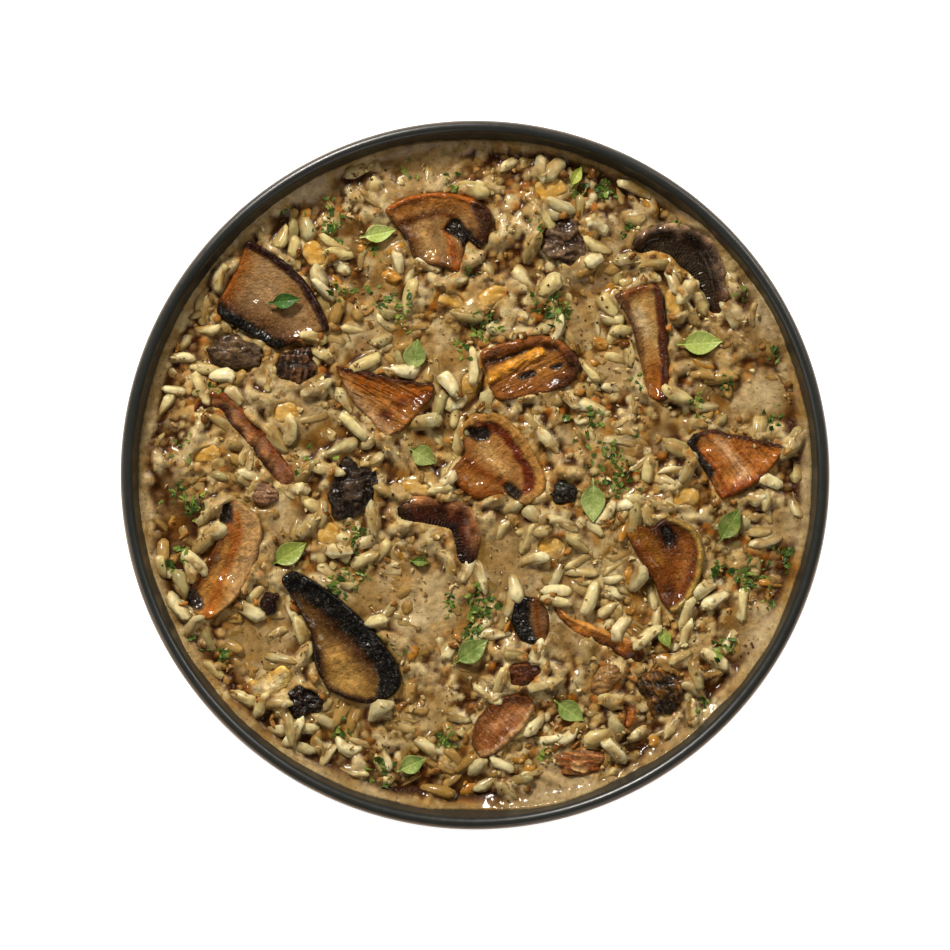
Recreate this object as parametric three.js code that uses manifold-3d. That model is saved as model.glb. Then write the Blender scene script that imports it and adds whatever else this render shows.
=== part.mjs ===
// Mushroom risotto in its own low stoneware bowl, as a group of closed solids.
//
// Units are millimetres and +Z is up. The origin is the middle of the bowl's foot, on the surface that the bowl
// stands on, and +Y is the far side of the bowl for the eater.
//
// The bowl is one turned solid. The risotto fills it to a little below the rim as one solid: a core with bumps
// the size of its grains, and the grains that stand proud of the sauce fused on. Each piece of mushroom, each
// piece of softened onion and each herb leaf is a solid of its own. It lies in a flat seat pressed into the core,
// a hair's breadth clear of it.
import * as THREE from "three";
import { mergeVertices } from "three/addons/utils/BufferGeometryUtils.js";
import Module from "manifold-3d";

const wasm = await Module();
wasm.setup();

// ---------------------------------------------------------------------------------------------------------------
// Driving dimensions
// ---------------------------------------------------------------------------------------------------------------

/** The bowl: a low round dish with a rounded lip, a wall that leans out and a turned foot ring. */
const BOWL = {
  rimRadius: 100,
  height: 39,
  lipWidth: 3.6,
  wallLean: THREE.MathUtils.degToRad(17),
  floorHeight: 8,
  floorThickness: 4.6,
  cornerRadius: 22,
  footRadius: 56,
  footWidth: 6,
  footChamfer: 0.7,
  segments: 48,
  cornerSteps: 3,
  lipSteps: 4,
};

/** The risotto: its level at the wall, how far it mounds up in the middle, and the mesh of its top. */
const FOOD = {
  edgeLevel: 30.1,
  mound: 0.9,
  wallGap: 0.3,
  ringSpacing: 3.65,
  floorRingSides: 24,
};

/** Bumps of the core, each as large as a cooked grain that lies half sunk in the sauce. */
const BUMP = { count: 620, length: [7, 10.5], width: [3.4, 5.2], height: [0.6, 1.7], jitter: 2, seed: 11 };

/** Whole grains that stand proud of the sauce. section is [along, radius] as shares of the length and width. */
const GRAIN = {
  count: 34,
  length: [7.6, 9.8],
  width: [3, 3.6],
  thickness: 0.9,
  lift: 0.9,
  clearOfToppings: 1.2,
  clearOfWall: 5,
  clearOfEachOther: 7,
  maxTilt: THREE.MathUtils.degToRad(14),
  section: [[-0.3, 0.4], [0, 0.5], [0.3, 0.4]],
  sides: 5,
  seed: 29,
};

/** Flakes of chopped herb in loose clusters: the middles of the clusters, and the flakes in each. */
const FLAKE = {
  clusters: [[-42, 71], [-24, 49], [22.5, 49], [2, 43], [37, 81], [-80, -10], [81.5, -29], [37.5, 3], [0, -41],
    [-40, -31]],
  each: 2,
  spread: 5,
  length: 3.6,
  width: 2.4,
  depth: 3,
  lift: 0.6,
  seed: 41,
};

/** How many places are tried for a scattered piece before it is left out. */
const SCATTER_TRIES = 400;

/** How a topping meets the core: the gap under it, and the flat and the bank of the seat around it. */
const SEAT = { gap: 0.3, flat: 1.7, bank: 1.4 };

/**
 * Cut slices. section is the edge from below to the face: [inset from the outline, height as a share of the
 * thickness]. The face has a ripple, and one ring of points between its edge and its hub.
 */
const SLICE = {
  seat: 28.3,
  thickness: 4.7,
  cornerRound: 1.1,
  arcStep: 6.5,
  section: [[1.5, 0], [0, 0.38], [0.3, 0.66], [1.3, 1]],
  faceRing: 0.45,
  furthestIn: 0.9,
  ripple: { depth: 0.45, alongX: 0.55, alongY: 0.5, phaseStep: 1.7 },
};

/** Strips. section is [side as a share of the width, height as a share of the thickness]. */
const STRIP = {
  seat: 28.6,
  thickness: 4.2,
  stationStep: 4.6,
  flat: 2.3,
  section: [[-0.5, 0.5], [-0.22, 0], [0.22, 0], [0.5, 0.5], [0.3, 1], [-0.3, 1]],
  endHeight: 0.4,
};

/** Lumps of mushroom and pieces of onion: how uneven the outline is, and how far the top sinks here and there. */
const CHUNK = { seat: 28.2, thickness: 4.9, sides: 11, uneven: 0.12, crown: 0.5, firstSeed: 100 };
const ONION = { seat: 29.3, thickness: 2.9, sides: 9, uneven: 0.08, crown: 0.4, firstSeed: 200 };

/** Any lump: its squarish oval, its lobes, and its section as [share of the way in, share of the thickness]. */
const LUMP = { squareness: 2.6, lobes: [2, 3, 5], section: [[0.34, 0], [0, 0.46], [0.3, 1]] };

/** Leaves: a fold along the rib, a wave along the length, and a blade that starts after the stalk. */
const LEAF = {
  seat: 31.1,
  thickness: 0.5,
  flat: 2.4,
  fold: 0.55,
  wave: 0.3,
  wavePhaseStep: 1.3,
  stations: 5,
  stalk: 0.14,
  stalkWidth: 0.7,
  widestAt: 0.75,
  fullness: 0.8,
};

/** Points nearer than this are one point of a solid. */
const WELD = 1e-5;

// ---------------------------------------------------------------------------------------------------------------
// The toppings, each at its place in the bowl
// ---------------------------------------------------------------------------------------------------------------

/**
 * Slices and torn pieces of mushroom. A corner is [x, y, rise], clockwise from above, and the side that leaves it is
 * an arc that rises outwards by rise. hub is a point that sees the whole outline. A hollow is where the gills
 * fall away from the cut face, [x, y, radius, depth].
 */
const SLICES = [
  { // a cap cut through, with its dark skin to the right and its gills along the lower left
    corners: [[-64.6, 66.7, 4.4], [-40.8, 41, 0], [-56, 35.6, 0.4], [-73.4, 45.5, 0], [-72.5, 49.9, -0.6]],
    hub: [-57.5, 51], thickness: 4.3,
  },
  { // half a cap with its stem, the edge of the cap curled round the gills
    corners: [[-26, 74.9, 1.2], [-11.3, 80.4, 1], [2.6, 76.6, 1.4], [4.9, 70.1, 0.8], [1.7, 64.1, 0],
      [-2, 67.4, 0], [-4.1, 56.9, 0], [-17.4, 60.5, 0], [-19.8, 67, 0]],
    hub: [-7.5, 71.5], hollow: [-3.6, 68.8, 4.2, 1.8],
  },
  { // a torn wedge with its frayed edge along the top
    corners: [[-40, 31.5, -0.4], [-10.5, 26, 0.8], [-17.4, 15.4, 0.5], [-25.3, 9.6, 0], [-32.1, 17.4, 0.5]],
    hub: [-24, 22],
  },
  { // a whole slice, the cap round its stem
    corners: [[-4.9, 12.6, 3.4], [8.9, 16.6, 1.4], [20.4, -1.4, 2], [13.6, -8.8, 0], [9.8, -5.4, 0],
      [0.2, -7.4, 0.6], [-7.9, 0.6, 0], [-2.6, 6.6, 0]],
    hub: [5.4, 4.6], hollow: [0.6, 11, 3.6, 1.8],
  },
  { // a narrow slice of cap, its skin down the right
    corners: [[39.1, 50.9, 0.6], [49.6, 54.7, 0.3], [52.7, 53, 0.8], [54.9, 20.9, 0.6], [49, 21.9, 0],
      [44.4, 42, -0.4]],
    hub: [49, 42],
  },
  { // a slice that lies on its side, the stem a ridge along it
    corners: [[1, 34.3, 1], [18.6, 39.7, 1.6], [29.3, 33.4, 1.6], [26.8, 25.2, 0.8], [5.8, 21, 0.6],
      [3.2, 28.2, 0]],
    hub: [15, 30.5], hollow: [15.5, 27, 3.4, 1.4],
  },
  { // a torn fibrous piece
    corners: [[58.9, 9.9, 0.6], [69.1, 13, 0.5], [88.6, 7.9, 0.3], [80.7, -1.9, 0], [70.2, -7.6, 0.5],
      [66.9, -2.1, 0]],
    hub: [73, 4.4],
  },
  { // a slice with a short stem, the cap to the right
    corners: [[42.5, -16.3, 0.3], [45.4, -14, 0], [50, -15, 0.8], [55.8, -11.6, 3.4], [64.7, -24.4, 2],
      [56.5, -39.4, 1.2], [51.2, -31.6, 0], [45.4, -22.4, 0]],
    hub: [54.5, -22.5], hollow: [54.6, -17, 3, 1.4],
  },
  { // a dark cut end
    corners: [[11, -33.6, 0], [18.2, -34.6, 0.4], [21.2, -40, 0.5], [20.2, -48, 0.4], [13.4, -47.6, 0.8],
      [10.2, -39.6, 0.5]],
    hub: [15.4, -41],
  },
  { // an oblong torn from the side of a cap
    corners: [[0.1, -69, 0.5], [7.4, -62.8, 0.6], [14.6, -62.2, 0.8], [17.4, -66.4, 0.5], [8.6, -76.6, 0.6],
      [1.8, -80.2, 0.6], [-0.9, -75, 0.3]],
    hub: [7.4, -69.8],
  },
  { // a thick slice of cap, its skin down the right
    corners: [[-72.1, -7.5, 0.8], [-64.6, -8.4, 1.4], [-60, -17.1, 3.2], [-74.9, -41.4, 2], [-82, -34.4, 0],
      [-72.2, -17, 0.3]],
    hub: [-70, -24],
  },
  { // a long slice, its charred gills a dark band down the right
    corners: [[-55.4, -29.6, 0.5], [-51.3, -26.8, 3.2], [-21.2, -54.7, 0.8], [-21.9, -61.4, 0.5],
      [-29.1, -64.8, 1.4], [-42.1, -60.4, 1.6], [-46.3, -45.1, 0], [-51.8, -34.6, 0]],
    hub: [-37.5, -47],
  },
];

/** Curled strips: the points of the spine, and the width at its start, middle and end. */
const STRIPS = [
  { widths: [3, 4.4, 5.4], spine: [[-79.3, 17.4], [-75.4, 20.9], [-70.6, 20], [-66.3, 14.7], [-61.2, 9.6],
    [-57.6, 3.6], [-51.6, -2.6]] },
  { widths: [1.8, 3.6, 4.4], spine: [[21.6, -34.8], [25.4, -40.8], [34.4, -45.6], [42.5, -48.6], [47.9, -52.2]] },
  { widths: [4, 8.6, 3.4], spine: [[44.8, 62.8], [50.4, 66.6], [57.8, 66], [64.4, 60.4], [67.4, 52.6],
    [68, 44.6]] },
  { widths: [4.6, 6.6, 4.4], spine: [[-22.8, -10.9], [-13.5, -10.7], [-5, -12.6], [-2.9, -18.6], [-3, -26]] },
  { widths: [2.4, 2.8, 2.4], spine: [[41.6, -63.8], [43.7, -67.2], [42.8, -71.6]] },
  { widths: [4, 5, 4.2], spine: [[-65.2, -61.6], [-58.4, -59.6], [-52.4, -55.6]] },
];

/** Charred or torn lumps of mushroom: the middle, the length and width, and the length's heading in degrees. */
const CHUNKS = [
  { at: [-67.8, 34.6], size: [16.4, 9.6], heading: -8 },
  { at: [-50.6, 30.9], size: [12.4, 10.4], heading: 10 },
  { at: [-59.3, -5.2], size: [8, 6.4], heading: -20 },
  { at: [-48.6, -64.4], size: [10.2, 9.4], heading: 30 },
  { at: [-34.9, -4.1], size: [17.4, 13.6], heading: 75 },
  { at: [25, 66], size: [13.4, 12.2], heading: -50 },
  { at: [53, -61], size: [14, 12.2], heading: -40 },
  { at: [30, -81.3], size: [14.4, 7.8], heading: 6 },
  { at: [-58.2, -36.2], size: [6.6, 5.2], heading: 80 },
  { at: [25, -5.2], size: [7.6, 7], heading: 60 },
  { at: [13.9, -56.2], size: [10.2, 7.2], heading: 15 },
  { at: [37, -57.8], size: [10.6, 7], heading: 52 },
];

/** Pieces of softened onion. */
const ONIONS = [
  { at: [21.2, 81.2], size: [9.6, 7.2], heading: 20 },
  { at: [56.6, 48.8], size: [8.2, 5.6], heading: -70 },
  { at: [4.9, 50.9], size: [9.8, 5.4], heading: 32 },
  { at: [-7, 49.6], size: [8.4, 4.8], heading: -15 },
  { at: [-45.5, 62.6], size: [8.6, 5.8], heading: -60 },
  { at: [-53.7, 17.6], size: [8, 6.6], heading: 10 },
  { at: [-76.2, 5.8], size: [8.8, 5], heading: 15 },
  { at: [-1.6, 26], size: [6.8, 5.2], heading: 80 },
  { at: [-41.4, -16.6], size: [7, 6.6], heading: 0 },
  { at: [-16.5, -3.8], size: [9.4, 4.4], heading: -12 },
  { at: [21.6, -20.5], size: [8.8, 7], heading: 25 },
  { at: [59.6, -6], size: [8.4, 6], heading: 10 },
];

/** Herb leaves: the middle, the length and width, and the tip's heading in degrees. on names what carries one. */
const LEAVES = [
  { at: [-27.6, 68.3], size: [10.4, 5], heading: 12 },
  { at: [-54, 49.2], size: [9, 4.4], heading: 8, on: "mushroom_slice_1" },
  { at: [-17.1, 33.6], size: [9.8, 6.4], heading: 80 },
  { at: [-14.9, 5.6], size: [9, 6], heading: -30 },
  { at: [28.6, 84.4], size: [6.4, 3.2], heading: 62 },
  { at: [63.6, 37.4], size: [13, 6.8], heading: 4 },
  { at: [33.4, -7.2], size: [12.6, 7], heading: -90 },
  { at: [71.9, -14.4], size: [11.4, 6.2], heading: 58 },
  { at: [-1.3, -50.1], size: [11.8, 6.6], heading: 35 },
  { at: [-52.8, -22.4], size: [11.8, 6.4], heading: 32 },
  { at: [26.6, -66.6], size: [10.2, 6], heading: -35 },
  { at: [-18.2, -82], size: [8.8, 5.4], heading: 25 },
  { at: [53.6, -45.8], size: [7, 3.6], heading: -65 },
  { at: [-15.7, -24.4], size: [5.8, 2.8], heading: -5 },
];

/** What each kind of piece looks like. */
const FINISH = {
  bowl: { color: "#3a3c3c", roughness: 0.5 },
  risotto: { color: "#a38a5a", roughness: 0.35 },
  slice: { color: "#a5662f", roughness: 0.4 },
  strip: { color: "#7a4426", roughness: 0.45 },
  chunk: { color: "#33261f", roughness: 0.6 },
  onion: { color: "#cf9a45", roughness: 0.3 },
  leaf: { color: "#6fa044", roughness: 0.5 },
};

// ---------------------------------------------------------------------------------------------------------------
// Chance, rings and outlines
// ---------------------------------------------------------------------------------------------------------------

/** A seeded source of even random numbers from 0 to 1 (the mulberry32 rule). */
function randomFrom(seed) {
  let state = seed >>> 0;
  return () => {
    state = (state + 0x6d2b79f5) >>> 0;
    let t = state;
    t = Math.imul(t ^ (t >>> 15), t | 1);
    t ^= t + Math.imul(t ^ (t >>> 7), t | 61);
    return ((t ^ (t >>> 14)) >>> 0) / 4294967296;
  };
}

/** An even random number within [low, high]. */
function between([low, high], random) {
  return low + (high - low) * random();
}

/** A closed solid from a row of rings of points, each joined to the next. The end rings may be single points. */
function solidFromRings(rings) {
  const positions = rings.flat().flatMap((p) => [p.x, p.y, p.z]);
  const starts = rings.map((_, k) => rings.slice(0, k).reduce((sum, ring) => sum + ring.length, 0));
  const faces = [];
  for (let k = 0; k + 1 < rings.length; k++) {
    const [n, m] = [rings[k].length, rings[k + 1].length];
    const low = (i) => starts[k] + (i % n);
    const high = (j) => starts[k + 1] + (j % m);
    let [i, j] = [0, 0];
    while ((n > 1 && i < n) || (m > 1 && j < m)) {
      const stepLow = m === 1 || (n > 1 && i < n && (j >= m || (i + 1) / n <= (j + 1) / m));
      if (stepLow) {
        faces.push([low(i), low(i + 1), high(j)]);
        i += 1;
      } else {
        faces.push([low(i), high(j + 1), high(j)]);
        j += 1;
      }
    }
  }
  return solidFromFaces(positions, faces);
}

/** A geometry from positions and triangles, turned so that its faces point out. */
function solidFromFaces(positions, faces) {
  const point = (i) => new THREE.Vector3().fromArray(positions, 3 * i);
  const volume = faces.reduce((sum, [a, b, c]) => sum + point(a).dot(point(b).cross(point(c))), 0);
  const index = faces.flatMap(([a, b, c]) => (volume > 0 ? [a, b, c] : [a, c, b]));
  const geometry = new THREE.BufferGeometry();
  geometry.setAttribute("position", new THREE.Float32BufferAttribute(positions, 3));
  geometry.setIndex(index);
  return geometry;
}

/** The points of an outline whose corners are joined by arcs, with each corner cut back by round. */
function arcOutline(corners, round, step) {
  return corners.flatMap(([x, y, rise], k) => {
    const start = new THREE.Vector2(x, y);
    const side = new THREE.Vector2(...corners[(k + 1) % corners.length]).sub(start);
    const length = side.length();
    const outwards = new THREE.Vector2(-side.y, side.x).normalize();
    const pieces = Math.max(1, Math.round(length / step) * Number(rise !== 0));
    const margin = Math.min(round / length, 1 / 3);
    return Array.from({ length: pieces + 1 }, (_, i) => {
      const t = margin + ((1 - 2 * margin) * i) / pieces;
      return start.clone().addScaledVector(side, t).addScaledVector(outwards, 4 * rise * t * (1 - t));
    });
  });
}

/** The points of a lump's outline: a squarish oval that a few random lobes make uneven. */
function lumpOutline({ at, size, heading }, sides, uneven, random) {
  const middle = new THREE.Vector2(...at);
  const turn = THREE.MathUtils.degToRad(heading);
  const power = LUMP.squareness;
  const lobes = LUMP.lobes.map((count) => {
    const phase = 2 * Math.PI * random();
    return { count, phase, depth: (uneven * (0.5 + random())) / 2 };
  });
  return Array.from({ length: sides }, (_, i) => {
    const angle = (2 * Math.PI * i) / sides;
    const [x, y] = [Math.cos(angle), Math.sin(angle)];
    const oval = (Math.abs(x) ** power + Math.abs(y) ** power) ** (-1 / power);
    const lobed = ({ count, phase, depth }) => 1 + depth * Math.cos(count * angle + phase);
    const r = lobes.reduce((product, lobe) => product * lobed(lobe), oval);
    const point = new THREE.Vector2((size[0] / 2) * r * x, (size[1] / 2) * r * y);
    return point.rotateAround(new THREE.Vector2(), turn).add(middle);
  });
}

/** How far a point lies outside a polygon, less than 0 inside it. */
function distanceOutside(polygon, x, y) {
  let nearest = Infinity;
  let inside = false;
  polygon.forEach((a, k) => {
    const b = polygon[(k + 1) % polygon.length];
    const [dx, dy] = [b.x - a.x, b.y - a.y];
    const t = THREE.MathUtils.clamp(((x - a.x) * dx + (y - a.y) * dy) / (dx * dx + dy * dy), 0, 1);
    nearest = Math.min(nearest, Math.hypot(x - a.x - t * dx, y - a.y - t * dy));
    if (a.y > y !== b.y > y && x < a.x + ((y - a.y) / dy) * dx) inside = !inside;
  });
  return inside ? -nearest : nearest;
}

// ---------------------------------------------------------------------------------------------------------------
// The bowl
// ---------------------------------------------------------------------------------------------------------------

/** The inner corner of the bowl, between floor and wall, as an arc with its middle at [radius, height]. */
function bowlCorner() {
  const { rimRadius, height, lipWidth, wallLean, floorHeight, cornerRadius } = BOWL;
  const lipRadius = lipWidth / 2;
  const sweep = Math.PI / 2 - wallLean;
  const top = floorHeight + cornerRadius * (1 - Math.cos(sweep));
  const wallAtTop = rimRadius - lipWidth - (height - lipRadius - top) * Math.tan(wallLean);
  const radius = wallAtTop - cornerRadius * Math.sin(sweep);
  return { radius, height: floorHeight + cornerRadius, sweep };
}

/** The radius of the bowl's inner wall at a height above its corner. */
function innerWallRadius(z) {
  return BOWL.rimRadius - BOWL.lipWidth - (BOWL.height - BOWL.lipWidth / 2 - z) * Math.tan(BOWL.wallLean);
}

/** The bowl, turned from one profile: out under the foot, up the outside, over the lip and down the inside. */
function makeBowl() {
  const { rimRadius, height, lipWidth, wallLean, floorHeight, floorThickness, cornerRadius } = BOWL;
  const { footRadius, footWidth, footChamfer, cornerSteps, lipSteps } = BOWL;
  const corner = bowlCorner();
  const lipRadius = lipWidth / 2;
  const under = floorHeight - floorThickness;
  const wallThickness = lipWidth * Math.cos(wallLean);
  const arc = (radius, from, to, steps, [middleX, middleY]) =>
    Array.from({ length: steps + 1 }, (_, i) => {
      const angle = from + ((to - from) * i) / steps;
      const r = radius(angle);
      return new THREE.Vector2(middleX + r * Math.cos(angle), middleY + r * Math.sin(angle));
    });
  const down = -Math.PI / 2;
  const { mapLinear } = THREE.MathUtils;
  const thickness = (angle) => mapLinear(angle, down, down + corner.sweep, floorThickness, wallThickness);
  const middle = [corner.radius, corner.height];
  const foot = [
    new THREE.Vector2(0, under),
    new THREE.Vector2(footRadius - footWidth, under),
    new THREE.Vector2(footRadius - footWidth + footChamfer, 0),
    new THREE.Vector2(footRadius - footChamfer, 0),
    new THREE.Vector2(footRadius, footChamfer),
    new THREE.Vector2(footRadius + footChamfer, under),
  ];
  const up = down + corner.sweep;
  const outside = arc((angle) => cornerRadius + thickness(angle), down, up, cornerSteps, middle);
  const lip = arc(() => lipRadius, 0, Math.PI, lipSteps, [rimRadius - lipRadius, height - lipRadius]);
  const inside = arc(() => cornerRadius, up, down, cornerSteps, middle);
  const profile = [...foot, ...outside, ...lip, ...inside, new THREE.Vector2(0, floorHeight)];
  return new THREE.LatheGeometry(profile, BOWL.segments).rotateX(Math.PI / 2);
}

// ---------------------------------------------------------------------------------------------------------------
// The toppings
// ---------------------------------------------------------------------------------------------------------------

/** A slab whose edge follows a section, and whose top lies at top(x, y) over the level z. */
function slab(outline, hub, z, top) {
  const ring = (inset, share, height) =>
    outline.map((p) => {
      const toHub = hub.clone().sub(p);
      const q = p.clone().addScaledVector(toHub, Math.min(inset / toHub.length() + share, SLICE.furthestIn));
      return new THREE.Vector3(q.x, q.y, z + height * (top(q.x, q.y) - z));
    });
  const [faceInset] = SLICE.section.at(-1);
  return solidFromRings([
    [new THREE.Vector3(hub.x, hub.y, z)],
    ...SLICE.section.map(([inset, height]) => ring(inset, 0, height)),
    ring(faceInset, SLICE.faceRing, 1),
    [new THREE.Vector3(hub.x, hub.y, top(hub.x, hub.y))],
  ]);
}

/** A slice or torn piece of mushroom. */
function makeSlice({ corners, hub, thickness = SLICE.thickness, hollow }, k) {
  const outline = arcOutline(corners, SLICE.cornerRound, SLICE.arcStep);
  const { depth, alongX, alongY, phaseStep } = SLICE.ripple;
  const phase = phaseStep * k;
  const z = SLICE.seat + SEAT.gap;
  const top = (x, y) => {
    const ripple = (depth * (Math.sin(alongX * x + phase) * Math.sin(alongY * y - phase) - 1)) / 2;
    const inHollow = hollow ? Math.hypot(x - hollow[0], y - hollow[1]) / hollow[2] : 1;
    return z + thickness + ripple - (inHollow < 1 ? hollow[3] * (1 - inHollow ** 2) : 0);
  };
  const geometry = slab(outline, new THREE.Vector2(...hub), z, top);
  return { geometry, footprint: outline, seat: SLICE.seat, top: z + thickness };
}

/** A curled strip of mushroom: a rounded six-sided section carried along its spine. */
function makeStrip({ spine, widths }) {
  const points = spine.map(([x, y]) => new THREE.Vector3(x, y, 0));
  const curve = new THREE.CatmullRomCurve3(points, false, "centripetal");
  const stations = Math.max(4, Math.round(curve.getLength() / STRIP.stationStep));
  const z = STRIP.seat + SEAT.gap;
  const { lerp } = THREE.MathUtils;
  const places = Array.from({ length: stations }, (_, i) => {
    const u = (i + 0.5) / stations;
    const [start, middle, end] = widths;
    const width = u < 0.5 ? lerp(start, middle, 2 * u) : lerp(middle, end, 2 * u - 1);
    const along = curve.getTangentAt(u);
    return { at: curve.getPointAt(u), left: new THREE.Vector3(-along.y, along.x, 0), width };
  });
  const rings = places.map(({ at, left, width }) =>
    STRIP.section.map(([side, height]) =>
      at.clone().addScaledVector(left, side * width).setZ(z + height * STRIP.thickness)));
  const end = (u) => [curve.getPointAt(u).setZ(z + STRIP.endHeight * STRIP.thickness)];
  const edge = (side) => places.map(({ at, left, width }) => at.clone().addScaledVector(left, side * width));
  const footprint = [curve.getPointAt(0), ...edge(0.5), curve.getPointAt(1), ...edge(-0.5).reverse()];
  const geometry = solidFromRings([end(0), ...rings, end(1)]);
  return { geometry, footprint, seat: STRIP.seat, flat: STRIP.flat };
}

/** A lump of mushroom or a piece of onion: an uneven outline with a rounded top. */
function makeLump(place, { seat, thickness, sides, uneven, crown, firstSeed }, k) {
  const random = randomFrom(firstSeed + k);
  const outline = lumpOutline(place, sides, uneven, random);
  const hub = new THREE.Vector2(...place.at);
  const z = seat + SEAT.gap;
  const rings = LUMP.section.map(([share, height]) =>
    outline.map((p) => {
      const q = p.clone().lerp(hub, share);
      const sunk = height === 1 ? crown * random() : 0;
      return new THREE.Vector3(q.x, q.y, z + height * thickness - sunk);
    }));
  const pole = (height) => [new THREE.Vector3(hub.x, hub.y, z + height * thickness)];
  return { geometry: solidFromRings([pole(0), ...rings, pole(1)]), footprint: outline, seat };
}

/** A herb leaf: a thin sheet folded along its rib and waved along its length, both faces split alike. */
function makeLeaf({ at, size, heading, on }, k, carriers) {
  const [length, width] = size;
  const z = on ? carriers.get(on).top + SEAT.gap : LEAF.seat + SEAT.gap;
  const turn = THREE.MathUtils.degToRad(heading);
  const frame = new THREE.Matrix4().makeRotationZ(turn).setPosition(at[0], at[1], z);
  const halfWidth = (u) => {
    const blade = THREE.MathUtils.clamp((u - LEAF.stalk) / (1 - LEAF.stalk), 0, 1);
    const bladeWidth = width * Math.sin(Math.PI * blade ** LEAF.widestAt) ** LEAF.fullness;
    return Math.max(LEAF.stalkWidth, bladeWidth) / 2;
  };
  const rows = Array.from({ length: LEAF.stations }, (_, i) => {
    const u = i / (LEAF.stations - 1);
    const lift = LEAF.wave * (1 + Math.sin(2 * Math.PI * u + LEAF.wavePhaseStep * k));
    const fold = LEAF.fold * Math.sin(Math.PI * u);
    return [-1, 0, 1].map((v) => [length * (u - 0.5), v * halfWidth(u), lift + fold * v * v]);
  });
  const under = rows.flat().map(([x, y, h]) => new THREE.Vector3(x, y, h).applyMatrix4(frame));
  const over = under.map((p) => p.clone().setZ(p.z + LEAF.thickness));
  const count = under.length;
  const faces = [];
  for (let i = 0; i + 1 < rows.length; i++) {
    for (let j = 0; j < 2; j++) {
      const [a, b, c, d] = [3 * i + j, 3 * i + j + 1, 3 * i + j + 4, 3 * i + j + 3];
      faces.push([a, c, b], [a, d, c], [count + a, count + b, count + c], [count + a, count + c, count + d]);
    }
  }
  const last = 3 * (rows.length - 1);
  const right = rows.map((_, i) => 3 * i);
  const left = rows.map((_, i) => 3 * i + 2).reverse();
  const rim = [...right, last + 1, ...left, 1];
  rim.forEach((a, i) => {
    const b = rim[(i + 1) % rim.length];
    faces.push([b, a, count + a], [b, count + a, count + b]);
  });
  const positions = [...under, ...over].flatMap((p) => [p.x, p.y, p.z]);
  const geometry = solidFromFaces(positions, faces);
  const footprint = rim.map((i) => under[i]);
  return { geometry, footprint, seat: LEAF.seat, flat: LEAF.flat, onTopping: Boolean(on) };
}

// ---------------------------------------------------------------------------------------------------------------
// The risotto
// ---------------------------------------------------------------------------------------------------------------

/** Seeded bumps, spread evenly over the food by the golden angle and turned every way. */
function scatterBumps(radius) {
  const random = randomFrom(BUMP.seed);
  const goldenAngle = Math.PI * (3 - Math.sqrt(5));
  return Array.from({ length: BUMP.count }, (_, k) => {
    const r = radius * Math.sqrt((k + 0.5) / BUMP.count);
    const angle = k * goldenAngle;
    return {
      x: r * Math.cos(angle) + BUMP.jitter * random(),
      y: r * Math.sin(angle) + BUMP.jitter * random(),
      turn: Math.PI * random(),
      length: between(BUMP.length, random),
      width: between(BUMP.width, random),
      height: between(BUMP.height, random),
    };
  });
}

/** The level of the food without its bumps: a little higher in the middle. */
function moundHeight(x, y) {
  return FOOD.edgeLevel + FOOD.mound * (1 - (x * x + y * y) / innerWallRadius(FOOD.edgeLevel) ** 2);
}

/** The height of the core's top at a point: the mound, its bumps, and the seats pressed into it. */
function coreHeight(x, y, bumps, toppings) {
  let z = moundHeight(x, y);
  z += Math.max(0, ...bumps.map((b) => {
    const [dx, dy] = [x - b.x, y - b.y];
    const along = (dx * Math.cos(b.turn) + dy * Math.sin(b.turn)) / (b.length / 2);
    const across = (dy * Math.cos(b.turn) - dx * Math.sin(b.turn)) / (b.width / 2);
    return b.height * Math.sqrt(Math.max(0, 1 - along * along - across * across));
  }));
  for (const { footprint, seat, flat = SEAT.flat, onTopping } of toppings) {
    if (!onTopping) {
      const outside = distanceOutside(footprint, x, y);
      z = Math.min(z, seat + SEAT.bank * Math.max(0, outside - flat));
    }
  }
  return z;
}

/** The core: it follows the bowl's inside at a small gap, and its top is a disc of rings of even spacing. */
function makeCore(height) {
  const corner = bowlCorner();
  const wall = innerWallRadius(FOOD.edgeLevel) - FOOD.wallGap / Math.cos(BOWL.wallLean);
  const ring = (radius, sides, z) =>
    Array.from({ length: sides }, (_, i) => {
      const angle = (2 * Math.PI * i) / sides;
      const [x, y] = [radius * Math.cos(angle), radius * Math.sin(angle)];
      return new THREE.Vector3(x, y, z ?? height(x, y));
    });
  const floor = BOWL.floorHeight + FOOD.wallGap;
  const rings = [[new THREE.Vector3(0, 0, floor)], ring(corner.radius / 2, FOOD.floorRingSides, floor)];
  for (let i = 0; i <= BOWL.cornerSteps; i++) {
    const angle = (corner.sweep * i) / BOWL.cornerSteps;
    const reach = BOWL.cornerRadius - FOOD.wallGap;
    const radius = corner.radius + reach * Math.sin(angle);
    rings.push(ring(radius, BOWL.segments, corner.height - reach * Math.cos(angle)));
  }
  rings.push(ring(wall, BOWL.segments, FOOD.edgeLevel));
  const steps = Math.round(wall / FOOD.ringSpacing);
  for (let k = steps - 1; k > 0; k--) {
    const radius = (wall * k) / steps;
    rings.push(ring(radius, Math.round((2 * Math.PI * radius) / FOOD.ringSpacing)));
  }
  rings.push([new THREE.Vector3(0, 0, height(0, 0))]);
  return solidFromRings(rings);
}

/** One grain of rice along X, with pointed ends and few sides. */
function grainGeometry() {
  const rings = GRAIN.section.map(([along, radius]) =>
    Array.from({ length: GRAIN.sides }, (_, i) => {
      const angle = (2 * Math.PI * i) / GRAIN.sides;
      return new THREE.Vector3(along, radius * Math.cos(angle), radius * Math.sin(angle));
    }));
  return solidFromRings([[new THREE.Vector3(-0.5, 0, 0)], ...rings, [new THREE.Vector3(0.5, 0, 0)]]);
}

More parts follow.
